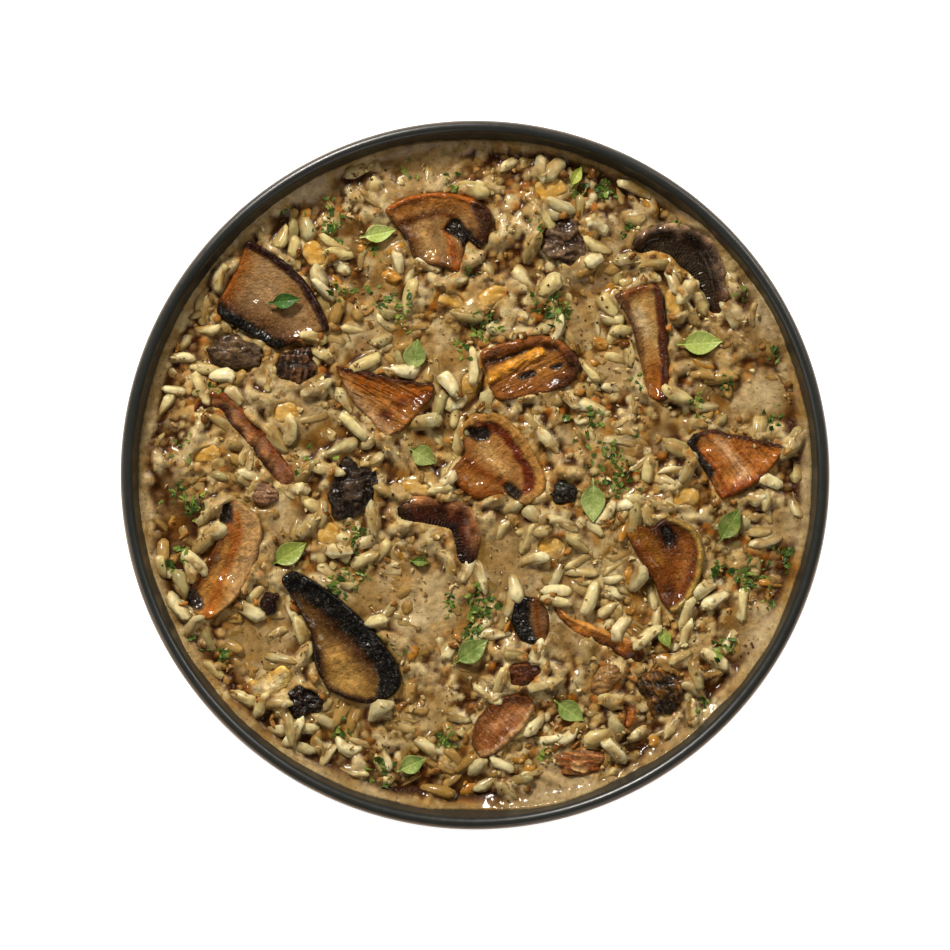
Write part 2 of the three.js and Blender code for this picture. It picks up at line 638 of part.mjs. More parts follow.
/** Whole grains on the core, largest first, where they stay clear of toppings, wall and each other. */
function scatterGrains(toppings) {
  const random = randomFrom(GRAIN.seed);
  const reach = innerWallRadius(FOOD.edgeLevel) - GRAIN.clearOfWall;
  const base = grainGeometry();
  const placed = [];
  const lengths = Array.from({ length: GRAIN.count }, () => between(GRAIN.length, random));
  for (const length of lengths.sort((a, b) => b - a)) {
    for (let tries = 0; tries < SCATTER_TRIES; tries++) {
      const r = reach * Math.sqrt(random());
      const around = 2 * Math.PI * random();
      const [x, y] = [r * Math.cos(around), r * Math.sin(around)];
      const heading = Math.PI * random();
      const tilt = GRAIN.maxTilt * (2 * random() - 1);
      const width = between(GRAIN.width, random);
      const crowded = placed.some((g) => Math.hypot(g.x - x, g.y - y) < GRAIN.clearOfEachOther);
      if (!crowded && clearOf(toppings, x, y, length / 2)) {
        const geometry = base.clone().scale(length, width, width * GRAIN.thickness);
        geometry.rotateY(tilt).rotateZ(heading).translate(x, y, moundHeight(x, y) + GRAIN.lift);
        placed.push({ x, y, geometry });
        break;
      }
    }
  }
  return placed.map((g) => g.geometry);
}

/** Flakes of chopped herb on the core, each in its cluster and clear of the toppings. */
function scatterFlakes(toppings) {
  const random = randomFrom(FLAKE.seed);
  const base = new THREE.OctahedronGeometry(0.5).scale(FLAKE.length, FLAKE.width, FLAKE.depth);
  base.deleteAttribute("normal");
  base.deleteAttribute("uv");
  return FLAKE.clusters.flatMap(([middleX, middleY]) => {
    const flakes = [];
    for (let tries = 0; tries < SCATTER_TRIES && flakes.length < FLAKE.each; tries++) {
      const x = middleX + FLAKE.spread * (2 * random() - 1);
      const y = middleY + FLAKE.spread * (2 * random() - 1);
      const heading = Math.PI * random();
      if (clearOf(toppings, x, y, FLAKE.length / 2)) {
        flakes.push(base.clone().rotateZ(heading).translate(x, y, moundHeight(x, y) + FLAKE.lift));
      }
    }
    return flakes;
  });
}

/** Whether a small piece that reaches out by reach from a point stays clear of every topping. */
function clearOf(toppings, x, y, reach) {
  return toppings.every(({ footprint }) => distanceOutside(footprint, x, y) > reach + GRAIN.clearOfToppings);
}

/** A closed geometry as a manifold solid. */
function toManifold(geometry) {
  const merged = mergeVertices(geometry, WELD);
  const vertProperties = new Float32Array(merged.attributes.position.array);
  const triVerts = new Uint32Array(merged.index.array);
  return new wasm.Manifold(new wasm.Mesh({ numProp: 3, vertProperties, triVerts }));
}

/** A manifold solid as a geometry. */
function toGeometry(solid) {
  const { vertProperties, triVerts } = solid.getMesh();
  const geometry = new THREE.BufferGeometry();
  geometry.setAttribute("position", new THREE.Float32BufferAttribute(vertProperties, 3));
  geometry.setIndex(Array.from(triVerts));
  return geometry;
}

/** The risotto: its core with the whole grains and the herb flakes fused on. */
function makeRisotto(toppings) {
  const bumps = scatterBumps(innerWallRadius(FOOD.edgeLevel));
  const height = (x, y) => coreHeight(x, y, bumps, toppings);
  const scattered = [...scatterGrains(toppings), ...scatterFlakes(toppings)].map(toManifold);
  const fused = scattered.reduce((sum, piece) => sum.add(piece), toManifold(makeCore(height)));
  return toGeometry(fused);
}

// ---------------------------------------------------------------------------------------------------------------
// The whole dish
// ---------------------------------------------------------------------------------------------------------------

/** A named mesh with the finish of its kind. */
function mesh(name, geometry, finish) {
  const material = new THREE.MeshStandardMaterial({ ...finish, metalness: 0 });
  const made = new THREE.Mesh(geometry, material);
  made.name = name;
  return made;
}

const toppings = new Map();
const finishes = new Map();

/** Makes each row of a table into a named topping of one kind. */
function addToppings(prefix, rows, finish, make) {
  rows.forEach((row, k) => {
    toppings.set(`${prefix}_${k + 1}`, make(row, k));
    finishes.set(`${prefix}_${k + 1}`, finish);
  });
}

addToppings("mushroom_slice", SLICES, FINISH.slice, makeSlice);
addToppings("mushroom_strip", STRIPS, FINISH.strip, makeStrip);
addToppings("mushroom_chunk", CHUNKS, FINISH.chunk, (row, k) => makeLump(row, CHUNK, k));
addToppings("onion", ONIONS, FINISH.onion, (row, k) => makeLump(row, ONION, k));
addToppings("leaf", LEAVES, FINISH.leaf, (row, k) => makeLeaf(row, k, toppings));

const dish = new THREE.Group();
dish.add(mesh("bowl", makeBowl(), FINISH.bowl));
dish.add(mesh("risotto", makeRisotto([...toppings.values()]), FINISH.risotto));
for (const [name, { geometry }] of toppings) {
  dish.add(mesh(name, geometry, finishes.get(name)));
}

export default dish;
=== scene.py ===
"""Mushroom risotto in its own low stoneware bowl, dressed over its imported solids.

Shapes are worked out in millimetres in the row's frame: +Z is up, the origin is the middle of the bowl's
foot and +Y is the far side of the bowl for the eater. A length becomes metres where its mesh is made. The
rice is dropped grain by grain into a heap, the sauce floods it, and each topping lies where its solid lies.
"""

from __future__ import annotations

import logging
import math
from dataclasses import dataclass
from enum import Enum
from typing import Any, Callable, ClassVar, Sequence

import bpy
import numpy as np
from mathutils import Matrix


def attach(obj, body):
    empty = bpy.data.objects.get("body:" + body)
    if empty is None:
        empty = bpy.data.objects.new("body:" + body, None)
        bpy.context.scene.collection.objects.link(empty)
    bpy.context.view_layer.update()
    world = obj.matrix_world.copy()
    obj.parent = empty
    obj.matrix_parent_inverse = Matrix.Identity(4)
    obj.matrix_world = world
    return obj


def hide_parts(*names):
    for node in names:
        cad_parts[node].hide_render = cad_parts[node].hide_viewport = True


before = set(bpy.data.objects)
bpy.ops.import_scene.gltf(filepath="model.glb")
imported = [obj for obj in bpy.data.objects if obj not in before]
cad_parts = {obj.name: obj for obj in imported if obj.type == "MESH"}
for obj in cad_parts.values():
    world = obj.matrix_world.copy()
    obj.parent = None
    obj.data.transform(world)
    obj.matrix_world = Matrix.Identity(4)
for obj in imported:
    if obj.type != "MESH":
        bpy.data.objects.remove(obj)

Array = np.ndarray
Pair = tuple[float, float]
Triple = tuple[float, float, float]
MM = 0.001
BODY = "root"
LOG = logging.getLogger("risotto")
WHITE = (1.0, 1.0, 1.0, 1.0)
MIX_A, MIX_B, MIX_RESULT = 6, 7, 2  # the colour sockets of a Mix node, by their places
FACTORS = (374761393, 668265263, 1274126177, 97)  # they mix up a lattice's x, y and z and its seed
WORD, HALF_WORD = 0xFFFFFFFF, 2147483648.0
ARC_STEPS, SPLINE_STEPS = 60, 24


# ---- Colour, nodes and noise -----------------------------------------------


def to_linear(values: Array) -> Array:
    """Turns sRGB values from 0 to 1 to linear light by the sRGB curve."""
    values = np.clip(values, 0.0, 1.0)
    return np.where(values <= 0.04045, values / 12.92, ((values + 0.055) / 1.055) ** 2.4)


def shade(code: str) -> Array:
    """Reads an sRGB hex colour as three values from 0 to 1."""
    return np.array([int(code[i : i + 2], 16) for i in (1, 3, 5)]) / 255.0


def linear(code: str) -> tuple[float, float, float, float]:
    """Turns an sRGB hex colour to the linear red, green, blue and alpha of a socket."""
    return (*to_linear(shade(code)).tolist(), 1.0)


def per_metre(size: float) -> float:
    """Gives the texture scale whose features are size millimetres wide."""
    return 1.0 / (size * MM)


def fill(tree: bpy.types.NodeTree, node: bpy.types.Node, inputs: dict[str | int, Any]) -> None:
    """Puts a value in each socket that is named, or links the socket of another node to it."""
    for key, value in inputs.items():
        if isinstance(value, bpy.types.NodeSocket):
            tree.links.new(value, node.inputs[key])
        else:
            node.inputs[key].default_value = value


def add_node(tree: bpy.types.NodeTree, kind: str, inputs: dict[str | int, Any] | None = None,
             **settings: Any) -> bpy.types.Node:
    """Adds a node, sets its properties, and fills or links its sockets.

    Args:
        tree: The tree that gets the node.
        kind: The node's type, such as ShaderNodeMath.
        inputs: What goes in each socket: a value, or the socket of another node.
        settings: The node's own properties.

    Returns:
        The new node.
    """
    node = tree.nodes.new(kind)
    for key, value in settings.items():
        setattr(node, key, value)
    fill(tree, node, inputs or {})
    return node


def smoothstep(low: float, high: float, values: Array) -> Array:
    """Rises from 0 at low to 1 at high, as 3t^2 - 2t^3."""
    t = np.clip((values - low) / (high - low), 0.0, 1.0)
    return t * t * (3.0 - 2.0 * t)


def hashed(x: Array, y: Array, z: Array, seed: int) -> Array:
    """A random value from -1 to 1 for whole coordinates, mixed by products, shifts and exclusive ors."""
    mixed_up = sum(part * factor for part, factor in zip((x, y, z, seed), FACTORS))
    mixed_up = (mixed_up ^ (mixed_up >> 13)) & WORD
    mixed_up = (mixed_up * FACTORS[2]) & WORD
    return (mixed_up ^ (mixed_up >> 16)) / HALF_WORD - 1.0


def noise(points: Array, spacing: float | Sequence[float], seed: int, octaves: int = 1) -> Array:
    """Smooth random values from about -1 to 1.

    Each corner of a lattice has a hashed random number, and a point takes the mean of the corners around it,
    weighted by smoothstep. Each further octave has half the spacing and half the weight.

    Args:
        points: Points with 3 coordinates in the last axis, in millimetres.
        spacing: The lattice's spacing, one number or one for each axis.
        seed: A whole number that picks the pattern.
        octaves: How many layers are summed.

    Returns:
        One value for each point.
    """
    total = np.zeros(points.shape[:-1])
    weight_sum = 0.0
    for octave in range(octaves):
        p = points / np.asarray(spacing, dtype=float) * 2.0**octave + 512.0 + 7.31 * octave
        cell = np.floor(p).astype(np.int64)
        part = p - cell
        part = part * part * (3.0 - 2.0 * part)
        value = np.zeros(points.shape[:-1])
        for corner in np.ndindex(2, 2, 2):
            at = cell + np.array(corner)
            weight = np.prod(np.where(np.array(corner) == 1, part, 1.0 - part), axis=-1)
            value += weight * hashed(at[..., 0], at[..., 1], at[..., 2], seed + octave)
        total += value / 2.0**octave
        weight_sum += 1.0 / 2.0**octave
    return total / weight_sum


def flat_noise(x: Array, y: Array, spacing: float, seed: int, octaves: int = 1) -> Array:
    """Noise over the plane: the pattern of noise() at one height."""
    return noise(np.stack([x, y, np.zeros_like(x)], axis=-1), spacing, seed, octaves)


def crumb_field(x: Array, y: Array, spacing: float, seed: int) -> tuple[Array, Array]:
    """Round crumbs over the plane, one in each square of a lattice, each moved and sized at random.

    A crumb of radius R rises as sqrt(1 - (d / R)^2), and a point takes the tallest crumb over it.

    Args:
        x: Where the points are, in millimetres.
        y: The same for the other axis.
        spacing: The side of the lattice's squares.
        seed: A whole number that picks the pattern.

    Returns:
        The height from 0 to 1, and a random number from 0 to 1 that is the same all over one crumb.
    """
    cx, cy = np.floor(x / spacing).astype(np.int64), np.floor(y / spacing).astype(np.int64)
    height, owner = np.zeros(x.shape), np.zeros(x.shape)
    for ox, oy in np.ndindex(3, 3):
        ix, iy = cx + ox - 1, cy + oy - 1
        flat = np.zeros_like(ix)
        away_x = x - (ix + 0.5 + 0.42 * hashed(ix, iy, flat, seed)) * spacing
        away_y = y - (iy + 0.5 + 0.42 * hashed(ix, iy, flat, seed + 1)) * spacing
        own = 0.5 + 0.5 * hashed(ix, iy, flat, seed + 2)
        size = spacing * (0.38 + 0.34 * own)
        here = np.sqrt(np.maximum(1.0 - (away_x**2 + away_y**2) / size**2, 0.0)) * (0.5 + 0.5 * own)
        taller = here > height
        height = np.where(taller, here, height)
        owner = np.where(taller, 0.5 + 0.5 * hashed(ix, iy, flat, seed + 3), owner)
    return height, owner


def mixed(a: Array, b: Array, share: Array) -> Array:
    """Colours between a and b, by each point's share of b."""
    share = np.clip(share, 0.0, 1.0)[..., None]
    return a * (1.0 - share) + b * share


# ---- Meshes from arrays ----------------------------------------------------


def quads_between(rows: int, columns: int, wrap: bool) -> Array:
    """Quads of a grid of rows by columns of points, joined round the columns where it wraps."""
    row = np.arange(rows - 1)[:, None] * columns
    left = np.arange(columns if wrap else columns - 1)[None, :]
    right = (left + 1) % columns
    return np.stack([row + left, row + right, row + columns + right, row + columns + left],
                    axis=-1).reshape(-1, 4)


def fan(ring: Array, pole: int) -> Array:
    """Triangles from each pair of neighbours on a ring of indices to a pole."""
    return np.stack([ring, np.roll(ring, -1), np.full_like(ring, pole)], axis=-1)


def closed_rings(rings: Array) -> tuple[Array, list[Array]]:
    """Points and faces of a closed skin of rings: a pole at its mean closes the first ring and the last.

    Args:
        rings: Points as (ring, around, xyz). From outside, a ring runs to the left and the rings run up.

    Returns:
        The points, and the faces as arrays of quads and triangles.
    """
    count, around = rings.shape[:2]
    points = np.concatenate([rings.reshape(-1, 3), rings[0].mean(axis=0)[None],
                             rings[-1].mean(axis=0)[None]])
    first = np.arange(around)
    last = first + (count - 1) * around
    faces = [quads_between(count, around, True), fan(first, count * around)[:, ::-1],
             fan(last, count * around + 1)]
    return points, faces


def with_poles(values: Array) -> Array:
    """Values of each ring's points as one row of points, with the two poles of closed_rings at the end."""
    flat = values.reshape(-1, *values.shape[2:])
    return np.concatenate([flat, values[0].mean(axis=0)[None], values[-1].mean(axis=0)[None]])


def copies(points: Array, faces: list[Array]) -> tuple[Array, list[Array]]:
    """Joins many shapes that share their faces.

    Args:
        points: Points as (shape, point, xyz).
        faces: The faces of one shape.

    Returns:
        All the points in one row, and all the faces.
    """
    count, each = points.shape[:2]
    shift = (np.arange(count) * each)[:, None, None]
    return points.reshape(-1, 3), [(f[None] + shift).reshape(-1, f.shape[1]) for f in faces]


def make_object(
    name: str, points: Array, faces: list[Array], material: bpy.types.Material,
    values: dict[str, Array] | None = None,
) -> bpy.types.Object:
    """Makes a smooth mesh object from arrays.

    Args:
        name: The object's name.
        points: Points in millimetres.
        faces: Arrays of triangles and of quads, as indices.
        material: The object's material.
        values: Attributes of the points: one number each, or three sRGB values from 0 to 1, kept linear.

    Returns:
        The object, linked to the scene, with its place in its mesh.
    """
    mesh = bpy.data.meshes.new(name)
    mesh.vertices.add(len(points))
    mesh.vertices.foreach_set("co", (points * MM).astype(np.float32).ravel())
    corners = np.concatenate([f.ravel() for f in faces])
    sizes = np.concatenate([np.full(len(f), f.shape[1]) for f in faces])
    mesh.loops.add(len(corners))
    mesh.loops.foreach_set("vertex_index", corners.astype(np.int32))
    mesh.polygons.add(len(sizes))
    mesh.polygons.foreach_set("loop_start", np.concatenate([[0], np.cumsum(sizes)[:-1]]).astype(np.int32))
    mesh.update(calc_edges=True)
    mesh.shade_smooth()
    for key, value in (values or {}).items():
        if value.ndim == 1:
            mesh.attributes.new(key, "FLOAT", "POINT").data.foreach_set("value", value.astype(np.float32))
        else:
            colours = np.concatenate([to_linear(value), np.ones((len(value), 1))], axis=1)
            layer = mesh.attributes.new(key, "FLOAT_COLOR", "POINT")
            layer.data.foreach_set("color", colours.astype(np.float32).ravel())
    mesh.materials.append(material)
    made = bpy.data.objects.new(name, mesh)
    bpy.context.scene.collection.objects.link(made)
    return made


def place(made: bpy.types.Object, slot: str, *nodes: str) -> bpy.types.Object:
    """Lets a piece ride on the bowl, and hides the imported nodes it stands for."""
    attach(made, BODY)
    if nodes:
        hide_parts(*nodes)
    LOG.info("%s: %d points, %d faces", made.name, len(made.data.vertices), len(made.data.polygons))
    return made


# ---- Outlines and distances ------------------------------------------------


def turned(x: Any, y: Any, angle: Any) -> tuple[Any, Any]:
    """Turns points about the origin: (x cos a - y sin a, x sin a + y cos a)."""
    c, s = np.cos(angle), np.sin(angle)
    return x * c - y * s, x * s + y * c


def full_turn(count: int) -> Array:
    """Evenly spaced angles of a full turn."""
    return np.linspace(0.0, 2 * math.pi, count, endpoint=False)


def arc(middle: Pair, radius: Any, angles: Array) -> Array:
    """Points round a middle at angles: middle + radius (cos a, sin a)."""
    return np.stack([middle[0] + radius * np.cos(angles), middle[1] + radius * np.sin(angles)], axis=-1)


def evenly(line: Array, count: int, endpoint: bool) -> Array:
    """Takes a line at even steps of its length in x and y, with what else its rows hold."""
    along = np.concatenate([[0.0], np.cumsum(np.linalg.norm(np.diff(line[:, :2], axis=0), axis=1))])
    wanted = np.linspace(0.0, along[-1], count, endpoint=endpoint)
    return np.stack([np.interp(wanted, along, column) for column in line.T], axis=-1)


def arc_outline(corners: Sequence[Triple], count: int) -> tuple[Array, Array]:
    """Points along an outline whose corners are joined by arcs, evenly spaced.

    A side is start + t (end - start), pushed out by 4 rise t (1 - t), as the solid's is.

    Args:
        corners: Corners as x, y and the rise of the side that leaves them, clockwise from above.
        count: How many points are returned.

    Returns:
        The points, and where each lies between the corners, such as 1.5 for the middle of the second side.
    """
    data = np.asarray(corners, dtype=float)
    starts, ends = data[:, :2], np.roll(data[:, :2], -1, axis=0)
    side = ends - starts
    outwards = np.stack([-side[:, 1], side[:, 0]], axis=-1) / np.linalg.norm(side, axis=1, keepdims=True)
    t = np.linspace(0.0, 1.0, ARC_STEPS, endpoint=False)[None, :, None]
    rise = 4.0 * data[:, 2, None, None] * t * (1.0 - t)
    dense = (starts[:, None] + side[:, None] * t + outwards[:, None] * rise).reshape(-1, 2)
    where = (np.arange(len(data))[:, None] + t[0, :, 0]).ravel()
    line = np.column_stack([np.concatenate([dense, dense[:1]]), np.append(where, float(len(data)))])
    even = evenly(line, count, endpoint=False)
    return even[:, :2], even[:, 2]


def round_corners(points: Array, reach: int) -> Array:
    """Rounds a closed row of points: each becomes the mean of its neighbours within reach."""
    return sum(np.roll(points, k, axis=0) for k in range(-reach, reach + 1)) / (2 * reach + 1)


def polygon_distance(polygon: Array, x: Array, y: Array) -> Array:
    """How far points lie outside a polygon, less than 0 inside: the nearest edge, signed by crossings."""
    px, py = x.ravel()[:, None], y.ravel()[:, None]
    ax, ay = polygon[:, 0][None], polygon[:, 1][None]
    bx, by = np.roll(ax, -1), np.roll(ay, -1)
    dx, dy = bx - ax, by - ay
    t = np.clip(((px - ax) * dx + (py - ay) * dy) / np.maximum(dx * dx + dy * dy, 1e-12), 0.0, 1.0)
    nearest = np.hypot(px - ax - t * dx, py - ay - t * dy).min(axis=1)
    spans = (ay > py) != (by > py)
    crossing = ax + (py - ay) / np.where(dy == 0.0, 1e-12, dy) * dx
    inside = (spans & (px < crossing)).sum(axis=1) % 2 == 1
    return np.where(inside, -nearest, nearest).reshape(x.shape)


def line_place(line: Array, x: Array, y: Array) -> tuple[Array, Array]:
    """The distance of points from a bent line, and how far along it each one's nearest place is."""
    best = np.full(x.shape, np.inf)
    along = np.zeros(x.shape)
    passed = 0.0
    for a, b in zip(line[:-1], line[1:]):
        step = b - a
        length = float(np.hypot(*step))
        t = np.clip(((x - a[0]) * step[0] + (y - a[1]) * step[1]) / max(length**2, 1e-12), 0.0, 1.0)
        away = np.hypot(x - a[0] - t * step[0], y - a[1] - t * step[1])
        nearer = away < best
        best = np.where(nearer, away, best)
        along = np.where(nearer, passed + t * length, along)
        passed += length
    return best, along


def smooth_line(points: Sequence[Pair], count: int) -> Array:
    """A smooth line through points: a Catmull-Rom spline, taken at even steps of its length."""
    p = np.asarray(points, dtype=float)
    p = np.concatenate([2 * p[:1] - p[1:2], p, 2 * p[-1:] - p[-2:-1]])
    t = np.linspace(0.0, 1.0, SPLINE_STEPS, endpoint=False)[:, None]
    parts = [0.5 * (2 * b + (c - a) * t + (2 * a - 5 * b + 4 * c - d) * t**2
                    + (3 * b - a - 3 * c + d) * t**3)
             for a, b, c, d in zip(p[:-3], p[1:-2], p[2:-1], p[3:])]
    return evenly(np.concatenate([*parts, p[-2:-1]]), count, endpoint=True)


# ---- Finishes --------------------------------------------------------------

# Where a noise texture's values mostly lie, where its middle ones lie, and where its few highest lie.
SWING, MIDDLE, PEAKS = (0.3, 0.7), (0.35, 0.65), (0.64, 0.72)


def new_material(name: str) -> tuple[bpy.types.Material, bpy.types.NodeTree, bpy.types.Node]:
    """A material with only its output, its tree, and its surface shader joined to the output."""
    material = bpy.data.materials.new(name)
    material.use_nodes = True
    tree = material.node_tree
    tree.nodes.clear()
    shader = add_node(tree, "ShaderNodeBsdfPrincipled")
    add_node(tree, "ShaderNodeOutputMaterial", {"Surface": shader.outputs["BSDF"]})
    return material, tree, shader


@dataclass(frozen=True)
class StonewareGlaze:
    """Stoneware dipped in an iron glaze and fired: a charcoal skin, a satin sheen and a faint speckle."""

    skin: str = "#202221"
    cloud: str = "#2c2d2a"
    speckle: str = "#12100d"
    thin: str = "#b49474"
    speckle_size: float = 0.7
    speckle_peaks: Pair = (0.66, 0.72)
    speckle_share: float = 0.35
    cloud_size: float = 14.0
    pit_size: float = 1.6
    pit_depth: float = 0.012
    roughness: Pair = (0.28, 0.36)
    ior: float = 1.5

    def material(self) -> bpy.types.Material:
        """Builds the glaze: it clouds from grey to charcoal, and it breaks to brown where it runs thin."""
        material, tree, shader = new_material("satin charcoal stoneware glaze")
        at = add_node(tree, "ShaderNodeTexCoord").outputs["Object"]
        cloud, grit, pits = (
            add_node(tree, "ShaderNodeTexNoise", {"Vector": at, "Scale": per_metre(size)}).outputs["Fac"]
            for size in (self.cloud_size, self.speckle_size, self.pit_size))
        specks, rough = (
            add_node(tree, "ShaderNodeMapRange", {
                "Value": value, "From Min": low, "From Max": high, "To Min": least, "To Max": most,
            }).outputs["Result"]
            for value, (low, high), (least, most) in (
                (grit, self.speckle_peaks, (0.0, self.speckle_share)), (pits, SWING, self.roughness)))
        worn = add_node(tree, "ShaderNodeAttribute", attribute_name="thin").outputs["Fac"]
        colour = linear(self.skin)
        for share, over in ((cloud, self.cloud), (specks, self.speckle), (worn, self.thin)):
            colour = add_node(tree, "ShaderNodeMix", {0: share, MIX_A: colour, MIX_B: linear(over)},
                              data_type="RGBA").outputs[MIX_RESULT]
        bump = add_node(tree, "ShaderNodeBump", {
            "Height": pits, "Strength": 1.0, "Distance": self.pit_depth * MM})
        fill(tree, shader, {"Base Color": colour, "Roughness": rough, "Normal": bump.outputs["Normal"],
                            "IOR": self.ior})
        return material


@dataclass(frozen=True)
class FoodFinish:
    """A cooked surface: colour painted on its points, mottled, and speckled with flecks of its own and, on
    browned mushroom, with painted glints, over pits and grains.
    """

    name: str
    mottle: Pair = (0.55, 1.15)
    mottle_size: float = 0.9
    fleck_and_glint: str = "#e6cc98"
    fleck_and_glint_size: float = 0.7
    fleck_and_glint_share: float = 0.5
    pit_size: float = 0.5
    pit_depth: float = 0.12
    cell_size: float = 1.3
    cell_depth: float = 0.0
    roughness: Pair = (0.28, 0.55)
    specular: float = 0.16
    flesh: float = 0.08
    glow: Triple = (1.0, 0.5, 0.22)
    glow_depth: float = 1.2
    film: float = 0.25
    film_roughness: float = 0.12
    ior: float = 1.4

    def material(self) -> bpy.types.Material:
        """Builds the finish: tint x mottle, specks on it, two reliefs, and a thin film of fat on top."""
        material, tree, shader = new_material(self.name)
        at = add_node(tree, "ShaderNodeTexCoord").outputs["Object"]
        tint = add_node(tree, "ShaderNodeAttribute", attribute_name="tint").outputs["Color"]
        patches, dots, pits = (
            add_node(tree, "ShaderNodeTexNoise", {
                "Vector": at, "Scale": per_metre(size), "Detail": detail}).outputs["Fac"]
            for size, detail in ((self.mottle_size, 4.0), (self.fleck_and_glint_size, 1.0), (self.pit_size, 3.0)))
        strength, share, rough = (
            add_node(tree, "ShaderNodeMapRange", {
                "Value": value, "From Min": low, "From Max": high, "To Min": least, "To Max": most,
            }).outputs["Result"]
            for value, (low, high), (least, most) in (
                (patches, SWING, self.mottle), (dots, PEAKS, (0.0, self.fleck_and_glint_share)),
                (patches, MIDDLE, self.roughness)))
        mottled = add_node(tree, "ShaderNodeVectorMath", {"Vector": tint, "Scale": strength},
                           operation="SCALE")
        colour = add_node(tree, "ShaderNodeMix", {
            0: share, MIX_A: mottled.outputs["Vector"], MIX_B: linear(self.fleck_and_glint)}, data_type="RGBA")
        cells = add_node(tree, "ShaderNodeTexVoronoi", {"Vector": at, "Scale": per_metre(self.cell_size)})
        pitted = add_node(tree, "ShaderNodeBump", {
            "Height": pits, "Strength": 1.0, "Distance": self.pit_depth * MM})
        grainy = add_node(tree, "ShaderNodeBump", {
            "Height": cells.outputs["Distance"], "Strength": 1.0, "Distance": self.cell_depth * MM,
            "Normal": pitted.outputs["Normal"]}, invert=True)
        fill(tree, shader, {
            "Base Color": colour.outputs[MIX_RESULT], "Roughness": rough, "Normal": grainy.outputs["Normal"],
            "IOR": self.ior, "Specular IOR Level": self.specular, "Subsurface Weight": self.flesh,
            "Subsurface Radius": self.glow, "Subsurface Scale": self.glow_depth * MM,
            "Coat Weight": self.film, "Coat Roughness": self.film_roughness, "Coat IOR": self.ior})
        return material


# Mushroom fried in butter: firm, finely pitted flesh, with fat that glints in tiny spots, and pale specks
# painted on as glints.
BROWNED = FoodFinish("pan-browned mushroom", mottle=(0.68, 1.16), mottle_size=1.5, fleck_and_glint="#e8cf98",
                     fleck_and_glint_size=0.4, fleck_and_glint_share=0.14, pit_size=0.6, pit_depth=0.42, cell_size=0.8,
                     cell_depth=0.12, roughness=(0.28, 0.46), specular=0.1, film=0.5, film_roughness=0.06)
# The same, charred: crusty and coarser, black with glossy high spots.
CHARRED = FoodFinish("charred mushroom", mottle=(0.45, 1.3), fleck_and_glint="#a08460", fleck_and_glint_share=0.25,
                     pit_size=1.3, pit_depth=0.5, cell_size=1.1, cell_depth=0.12, flesh=0.03, film=0.5)
# Onion softened in butter: glassy and golden, wet all over.
SOFTENED = FoodFinish("buttered onion", mottle=(0.68, 1.15), mottle_size=2.2, fleck_and_glint="#fbe6b4",
                      fleck_and_glint_size=1.1, fleck_and_glint_share=0.35, pit_size=1.2, pit_depth=0.1, roughness=(0.2, 0.36),
                      flesh=0.35, glow=(1.0, 0.7, 0.3), film=0.4)
# Stock thickened with starch, butter and cheese: cloudy cream, grainy where it clings, flecked with pepper.
STOCK = FoodFinish("starchy mushroom stock", mottle=(0.66, 1.16), mottle_size=2.0, fleck_and_glint="#4a3010",
                   fleck_and_glint_size=0.8, fleck_and_glint_share=0.6, pit_size=0.8, pit_depth=0.2, cell_size=1.7,
                   cell_depth=0.16, roughness=(0.3, 0.5), specular=0.1, flesh=0.25, glow=(1.0, 0.62, 0.25),
                   film=0.45, film_roughness=0.09)
# Cooked short-grain rice: waxy and plump, glassy at its ends, with a little stock dried on it.
RICE = FoodFinish("cooked rice", mottle=(0.76, 1.08), mottle_size=1.6, fleck_and_glint="#94753c", fleck_and_glint_size=1.0,
                  fleck_and_glint_share=0.2, pit_size=1.1, pit_depth=0.16, cell_size=1.6, cell_depth=0.08,
                  roughness=(0.26, 0.42), specular=0.14, flesh=0.5, glow=(1.0, 0.8, 0.4), glow_depth=1.6,
                  film=0.4, film_roughness=0.1)
# Fresh herb leaf: a matt green blade, thin enough to glow a little.
HERB = FoodFinish("fresh herb leaf", mottle=(0.66, 1.0), mottle_size=0.6, fleck_and_glint="#d9e890",
                  fleck_and_glint_share=0.15, pit_depth=0.05, roughness=(0.36, 0.5), flesh=0.1,
                  glow=(0.8, 1.0, 0.25), glow_depth=0.5, film=0.1)


# ---- The bowl --------------------------------------------------------------


